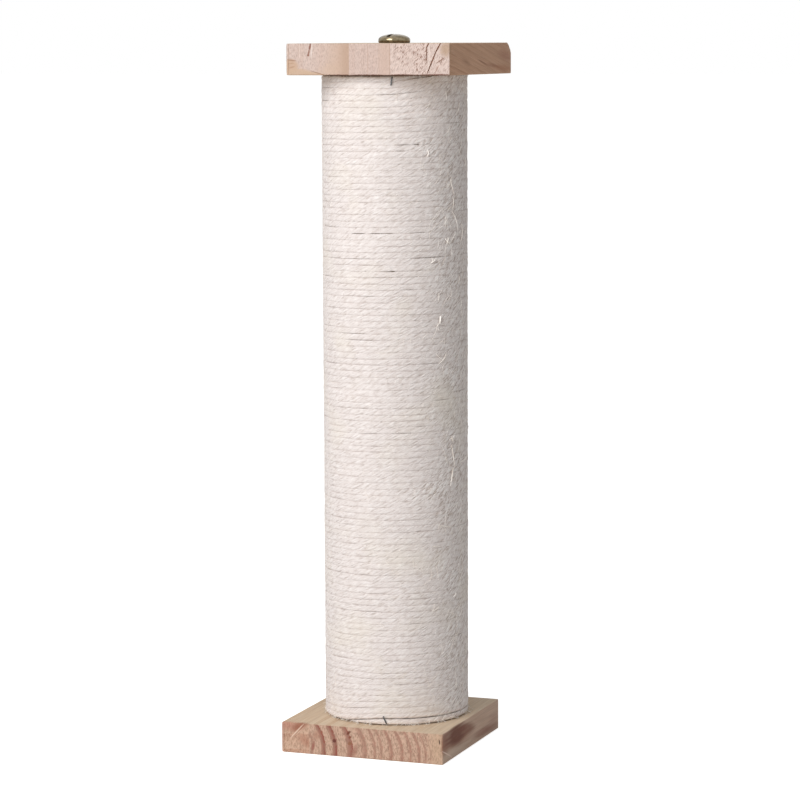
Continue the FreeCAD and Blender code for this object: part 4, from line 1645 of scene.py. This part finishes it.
def marks(origin: Point, rows: Sequence[Row], side: bool = False) -> tuple[ColourPatch, ...]:
    """Streaks on a plate's front or right face, each from one point to another.

    Args:
        origin: the face's lower left corner.
        rows: for each streak its start and its end, both in millimetres to the right and up, its
            width and colour, how much it covers, how ragged it is, and the share over which it fades.
        side: whether they lie on the right face.

    Returns:
        The streaks as colour patches.
    """
    found = []
    for x1, z1, x2, z2, width, colour, strength, edge, soft in rows:
        half, turn = math.hypot(x2 - x1, z2 - z1) / 2, math.degrees(math.atan2(z2 - z1, x2 - x1))
        along, height = (x1 + x2) / 2, origin[2] + (z1 + z2) / 2
        if side:
            centre, reach = (origin[0], origin[1] + along, height), (1.0, half, width / 2)
        else:
            centre, reach = (origin[0] + along, origin[1], height), (half, 2.5, width / 2)
        found.append(ColourPatch(centre, reach, turn, colour, strength, edge, soft, side))
    return tuple(found)


def base_plate() -> Plate:
    """The plate that the post stands on, of two strips."""
    narrow = PineBoard(
        "pine_base_narrow",
        pith=(-40.0, -60.0),
        ring_width=9.0,
        end_pale="#cdac95",
        end_dark="#b07c64",
        end_contrast=0.45,
        mottle=0.14,
        speckle=0.35,
        speckle_colour="#9a6048",
        stains_and_shade=marks(BASE_FRONT, (
            (-3.0, 17.0, 9.0, 16.0, 6.0, "#b47464", 0.5, 0.6, 0.7),
            (0.3, 19.0, 0.3, 3.0, 2.6, "#b98c80", 0.5, 0.5, 0.6),
            (7.0, 13.6, 15.8, 18.6, 4.6, "#925640", 0.75, 0.6, 0.5),
            (12.0, 9.5, 19.5, 4.5, 5.0, "#a2644e", 0.5, 0.9, 0.8),
            (5.5, 8.6, 13.9, 17.5, 0.7, "#ecd2be", 0.75, 0.15, 0.25),
            (9.0, 10.6, 15.0, 16.4, 0.45, "#e2c4ae", 0.5, 0.15, 0.25),
        )),
    )
    wide = PineBoard(
        "pine_base_wide",
        pith=(-452.8, 4.5),
        ring_width=7.4,
        oval=4.7,
        wander=0.8,
        ragged=1.7,
        rings=(
            (418.6, 420.0, 0.6),
            (425.1, 427.8, 1.0),
            (432.3, 435.3, 1.0),
            (441.5, 444.8, 0.9),
            (450.0, 453.3, 0.6),
            (457.5, 459.1, 0.65),
            (461.5, 463.1, 0.55),
            (467.3, 469.3, 0.7),
            (473.7, 475.8, 0.65),
            (479.5, 481.0, 0.65),
            (484.4, 486.3, 0.65),
            (488.6, 489.9, 0.6),
            (492.1, 492.7, 0.5),
        ),
        side_pale="#cfb4a0",
        side_dark="#a27c68",
        end_pale="#cdae98",
        end_dark="#8a4e42",
        end_contrast=1.0,
        mottle=0.16,
        speckle=0.4,
        speckle_colour="#946450",
        stains_and_shade=marks(BASE_FRONT, (
            (92.0, 10.0, 102.0, 10.0, 26.0, "#c4a788", 0.4, 0.6, 0.7),
            (19.4, 2.5, 20.6, 8.0, 1.8, "#8c4c42", 0.6, 0.7, 0.25),
            (20.5, 9.0, 23.5, 14.0, 4.0, "#a8745f", 0.5, 0.9, 0.8),
            (44.5, 0.5, 47.0, 7.5, 2.8, "#93574a", 0.5, 0.6, 0.6),
            (41.0, 13.4, 43.2, 15.6, 1.4, "#6a3626", 0.85, 0.4, 0.25),
            (42.0, 11.4, 44.0, 12.6, 1.2, "#7a4632", 0.7, 0.5, 0.25),
            (42.0, 7.4, 43.6, 9.4, 2.0, "#8a5a3c", 0.6, 0.6, 0.25),
            (32.2, 8.6, 34.0, 9.6, 2.2, "#5e3028", 0.85, 0.4, 0.25),
            (97.9, 14.8, 98.0, 12.0, 0.7, "#3c241c", 0.95, 0.1, 0.25),
        ))
        + marks(BASE_SIDE, (
            (2.0, 3.5, 40.0, 2.0, 6.0, "#d6c0ae", 0.65, 0.3, 0.7),
            (-4.0, 12.0, 10.0, 12.5, 12.0, "#845444", 0.75, 0.3, 0.7),
            (10.0, 9.6, 46.0, 8.6, 5.0, "#8a5844", 0.6, 0.3, 0.8),
            (7.0, 13.6, 39.0, 12.2, 11.0, "#633422", 0.93, 0.3, 0.5),
            (30.0, 14.5, 55.0, 10.6, 5.5, "#744432", 0.8, 0.3, 0.6),
            (56.0, 4.8, 84.0, 3.6, 4.2, "#824f40", 0.6, 0.3, 0.6),
            (72.0, 4.8, 98.0, 2.2, 5.0, "#86584a", 0.55, 0.3, 0.7),
            (84.0, 8.6, 99.0, 7.0, 7.0, "#a47c70", 0.4, 0.3, 0.8),
            (-0.5, 8.2, 15.5, 1.6, 0.8, "#e8d0c2", 0.85, 0.1, 0.25),
        ), side=True),
    )
    return Plate(
        "base",
        (
            Strip("base_stave_narrow", 0.0, 17.5, narrow, (Face.LEFT, *AROUND)),
            Strip("base_stave_wide", 17.5, 100.0, wide, (Face.RIGHT, *AROUND), has_bolt=True),
        ),
        underside=0.0,
        offset=BASE_OFFSET,
        recess=(24.0, 6.5),
    )


def top_plate() -> Plate:
    """The plate on top, of three strips, turned a little on its bolt."""
    # The dark lines along each strip's lower edge are painted shade, for the shadow in the gap between
    # the plate and the rope
    tan, lower_edge_shade, torn = "#caad94", "#704434", "#8a6250"
    left = PineBoard(
        "pine_top_left",
        pith=(-330.0, 440.0),
        ring_width=11.0,
        wander=2.0,
        end_pale="#d1bcb2",
        end_dark="#c2a08e",
        end_contrast=0.3,
        mottle=0.06,
        speckle=0.2,
        plate_turn=TOP_TURN,
        stains_and_shade=marks(TOP_FRONT, (
            (32.5, -14.0, 35.0, 32.0, 17.0, "#c8aa94", 0.55, 0.3, 0.9),
            (36.8, -16.0, 38.8, 34.0, 8.0, "#b59680", 0.6, 0.3, 0.8),
            (21.0, 1.0, 33.0, 5.0, 7.0, "#cdb19a", 0.4, 0.7, 0.8),
            (-3.0, 5.0, 7.4, 5.0, 8.2, "#c6a68c", 0.8, 0.25, 0.25),
            # Painted shade: a darker tan wedge along the lower left, for a chipped facet that faces
            # down
            (-2.0, 1.4, 16.5, 0.7, 5.4, tan, 0.85, 0.2, 0.25),
            (10.0, 1.2, 25.5, -0.8, 3.0, tan, 0.85, 0.2, 0.25),
            (0.6, 8.8, 6.4, 8.2, 0.9, "#a07a62", 0.65, 0.4, 0.25),
            (1.4, 6.6, 5.0, 6.8, 0.7, "#b08c74", 0.5, 0.4, 0.25),
            (2.0, 4.2, 5.4, 5.0, 0.9, "#ac866e", 0.55, 0.4, 0.25),
            (15.0, 2.6, 25.0, -0.1, 0.5, "#8c6448", 0.6, 0.4, 0.25),
            (15.4, 18.4, 14.6, 14.0, 1.1, "#80503f", 0.85, 0.6, 0.25),
            (14.7, 14.6, 13.7, 10.8, 1.1, "#8a5c4a", 0.8, 0.6, 0.25),
            (13.1, 11.4, 14.5, 11.2, 1.2, "#8e6250", 0.8, 0.4, 0.25),
            (16.3, 18.4, 15.6, 9.5, 0.8, "#ecdfd8", 0.6, 0.3, 0.5),
            (8.4, 18.4, 8.3, 9.5, 0.5, "#ecdcd2", 0.5, 0.2, 0.5),
            (7.8, 18.4, 7.8, 10.0, 0.4, "#b89888", 0.5, 0.2, 0.5),
            (23.0, -0.1, 42.0, -0.1, 1.2, lower_edge_shade, 0.8, 0.8, 0.25),
        )),
    )
    middle = PineBoard(
        "pine_top_middle",
        pith=(-260.0, 402.0),
        ring_width=6.4,
        wander=1.0,
        end_pale="#d0bab0",
        end_dark="#c3a597",
        end_contrast=0.4,
        mottle=0.06,
        speckle=0.2,
        plate_turn=TOP_TURN,
        stains_and_shade=marks(TOP_FRONT, (
            (61.2, -12.0, 61.2, 30.0, 8.0, "#cbb0a0", 0.5, 0.3, 0.6),
            (50.5, 20.0, 50.5, -2.0, 0.7, "#bc9c8a", 0.45, 0.5, 0.5),
            (57.4, 20.0, 57.4, -2.0, 0.5, "#c0a292", 0.4, 0.5, 0.5),
            (63.8, 24.0, 63.9, -6.0, 0.6, "#b08c76", 0.55, 0.3, 0.25),
            (37.0, -0.1, 67.0, -0.1, 1.2, lower_edge_shade, 0.8, 0.8, 0.25),
        )),
    )
    right = PineBoard(
        "pine_top_right",
        pith=(70.0, 340.0),
        ring_width=3.2,
        side_pale="#d6ad90",
        side_dark="#b1866c",
        end_pale="#d9c5bc",
        end_dark="#c8aa9a",
        end_contrast=0.3,
        mottle=0.08,
        speckle=0.35,
        speckle_colour=torn,
        plate_turn=TOP_TURN,
        side_slope=12.2,
        torn_lean=27.0,
        torn_cell=(0.5, 0.7, 2.4),
        torn_zones=marks(TOP_FRONT, (
            (66.0, 13.6, 76.5, 13.6, 11.0, torn, 0.95, 0.3, 0.4),
            (82.2, -4.0, 82.4, 22.0, 9.5, torn, 0.95, 0.3, 0.4),
            (70.0, 6.5, 75.0, 6.5, 5.0, torn, 0.7, 0.3, 0.4),
            (91.0, 8.0, 98.0, 8.5, 5.0, torn, 0.6, 0.3, 0.4),
        )),
        stains_and_shade=marks(TOP_FRONT, (
            (87.8, 17.6, 87.4, 2.0, 0.8, "#eaddd4", 0.45, 0.3, 0.5),
            (94.6, 14.8, 101.0, 14.4, 7.5, "#b09276", 0.7, 0.8, 0.5),
            (91.8, 6.6, 97.0, 10.0, 0.6, "#84604e", 0.8, 0.3, 0.25),
            (94.4, 6.2, 96.0, 10.0, 0.5, "#84604e", 0.7, 0.3, 0.25),
            (91.2, 1.2, 93.4, 5.6, 0.5, "#946450", 0.7, 0.3, 0.25),
            (62.0, -0.1, 81.0, -0.1, 1.5, lower_edge_shade, 0.85, 0.8, 0.25),
            (80.0, -0.1, 102.0, 0.1, 1.6, lower_edge_shade, 0.85, 0.8, 0.25),
        ))
        + marks(TOP_SIDE, (
            (20.0, 8.4, 32.0, 6.0, 2.6, "#8a6452", 0.4, 0.3, 0.8),
            (45.0, 8.4, 61.0, 5.0, 1.2, "#7a4a38", 0.6, 0.3, 0.6),
            (58.0, 5.6, 79.0, 4.0, 2.2, "#925f4a", 0.5, 0.3, 0.7),
            (73.0, 3.8, 100.0, 2.4, 3.8, "#a56c50", 0.5, 0.3, 0.8),
            (82.0, 12.2, 98.0, 9.8, 6.0, "#a87262", 0.45, 0.3, 0.8),
        ), side=True),
    )
    return Plate(
        "top",
        (
            Strip("top_stave_left", 0.0, 39.0, left, (Face.LEFT, *AROUND)),
            Strip("top_stave_middle", 39.0, 64.0, middle, AROUND, has_bolt=True),
            Strip(
                "top_stave_right",
                64.0,
                100.0,
                right,
                (Face.RIGHT, *AROUND),
                cracks=(
                    Crack(86.3, 11.5, 10.0, 0.0, 0.5),
                    Crack(87.0, 17.0, 4.2, 32.0, 0.7),
                    Crack(93.0, 15.2, 9.5, 30.0, 0.8),
                    Crack(89.2, 7.2, 14.5, 24.0, 0.8),
                ),
                knocked_corner=True,
            ),
        ),
        underside=TOP_UNDERSIDE,
        offset=TOP_OFFSET,
        turn=TOP_TURN,
    )


def core() -> Core:
    """The tube, its end discs and their fixings."""
    disc = PineBoard(
        "pine_disc", pith=(60.0, 30.0), ring_width=4.0, top_pale="#cfa981", top_dark="#a97d56"
    )
    wire = PlatedSteel("galvanised_wire", "#8a8b8c", "#6c6d6f", (0.35, 0.5), 2.0)
    nut = PlatedSteel("zinc_plated_nut", "#a9aaa8", "#8d8f8f", (0.3, 0.5), 3.0)
    return Core(
        {
            "core_tube": (Slot.CORE_BOARD, WoundBoard("wound_paper_board")),
            "lower_plug": (Slot.PLUG_WOOD, disc),
            "upper_plug": (Slot.PLUG_WOOD, disc),
            "lower_plug_staples": (Slot.STAPLE_WIRE, wire),
            "upper_plug_staples": (Slot.STAPLE_WIRE, wire),
            "t_nuts": (Slot.ZINC_PLATE, nut),
        }
    )


# Single hairs that stand out from the winding, most of them on its matted side
SHOWN_FIBRES = (
    Fibre(-43.2, 351.1, -73, 4.3, -53, 1.15, 0.58),
    Fibre(-20.6, 334.5, -91, 11.5, 32, 1.25, 0.43),
    Fibre(-16.5, 323.4, -116, 7.8, 24, 1.25, 0.41),
    Fibre(-19.1, 315.9, -57, 13.5, -27, 1.35, 0.43),
    Fibre(-12.8, 303.2, -157, 8.9, 41, 1.25, 0.43),
    Fibre(-26.8, 300.2, -65, 5.0, 37, 1.15, 0.65),
    Fibre(-22.7, 300.6, -128, 5.1, 18, 1.05, 0.58),
    Fibre(-3.9, 308.4, -91, 12.4, -30, 1.25, 0.43),
    Fibre(-8.1, 377.3, -125, 6.8, 20, 1.15, 0.41),
    Fibre(-25.7, 384.4, -98, 5.7, 16, 1.05, 0.36),
    Fibre(3.3, 345.0, -115, 5.5, 8, 1.25, 0.41),
    Fibre(-40.5, 286.1, 33, 4.2, 33, 1.05, 0.58),
    Fibre(-38.9, 286.8, 102, 2.8, 16, 0.95, 0.51),
    Fibre(-8.6, 278.1, -128, 4.9, 28, 1.15, 0.36),
    Fibre(-32.8, 268.9, -112, 5.2, 17, 1.05, 0.36),
    Fibre(-31.2, 255.7, -128, 4.9, 47, 1.15, 1.09),
    Fibre(-32.6, 251.6, -156, 3.5, 39, 0.95, 0.51),
    Fibre(-37.2, 235.1, -55, 10.8, 38, 0.95, 0.43),
    Fibre(-34.5, 227.5, 32, 8.8, 31, 0.95, 0.43),
    Fibre(-22.6, 183.3, 24, 4.5, 20, 1.15, 0.58),
    Fibre(-17.7, 181.1, 117, 5.4, 17, 1.15, 0.58),
    Fibre(-19.6, 181.1, -94, 14.0, 23, 1.35, 0.51),
    Fibre(-17.1, 167.2, -127, 11.9, 35, 1.45, 0.65),
    Fibre(-9.1, 169.0, 4, 13.8, 30, 1.35, 0.72),
    Fibre(-34.2, 134.5, -20, 12.3, 19, 1.05, 0.51),
    Fibre(-40.4, 122.3, -12, 5.5, 17, 0.95, 0.51),
    Fibre(-17.8, 90.7, 45, 3.1, 29, 1.05, 0.51),
    Fibre(-40.6, 84.6, 8, 4.9, 28, 0.95, 0.51),
    Fibre(-43.1, 21.6, -99, 8.2, 22, 1.60, 0.30),
    Fibre(-39.3, 19.1, 42, 5.8, 24, 1.20, 0.30),
)

# Dark dashes where the winding was not pressed together
OPEN_GROOVES = (
    OpenGroove(78.932, 0.020, 0.28),
    OpenGroove(78.986, 0.034, 0.26),
    OpenGroove(79.065, 0.024, 0.2),
    OpenGroove(74.908, 0.090, 0.14),
    OpenGroove(75.093, 0.050, 0.28),
    OpenGroove(62.916, 0.045, 0.2),
    OpenGroove(61.937, 0.040, 0.18),
    OpenGroove(93.035, 0.016, 0.22),
    OpenGroove(92.030, 0.012, 0.2),
    OpenGroove(93.064, 0.007, 0.45),
    OpenGroove(73.010, 0.006, 0.5),
)


def main() -> None:
    """Build the post and its setting."""
    logging.basicConfig(level=logging.INFO, format="%(name)s: %(message)s")
    base_plate().build()
    top_plate().build()
    winding = Winding(opened=OPEN_GROOVES)
    winding.build(SisalYarn("bleached_sisal_yarn", winding.lay_angle).material())
    Fuzz(SHOWN_FIBRES).build(LooseSisal("loose_sisal_fibre").material())
    wire = PlatedSteel("staple_wire_dark", "#6f7072", "#4c4d50", (0.35, 0.5), 2.0).material()
    RopeStaple("upper_rope_staple", -71.7, 389.7, -8.5).build(wire)
    RopeStaple("lower_rope_staple", -79.0, 21.3, 24.6).build(wire)
    brass = PlatedSteel("yellow_zinc", "#978970", "#61553f", (0.14, 0.26), 2.4).material()
    DomedBolt("upper_domed_bolt", 411.0, False, 83.0).build(brass)
    DomedBolt("lower_domed_bolt", 6.5, True, 20.0).build(brass)
    core().dress()
    Studio().build()


if __name__ == "__main__":
    main()
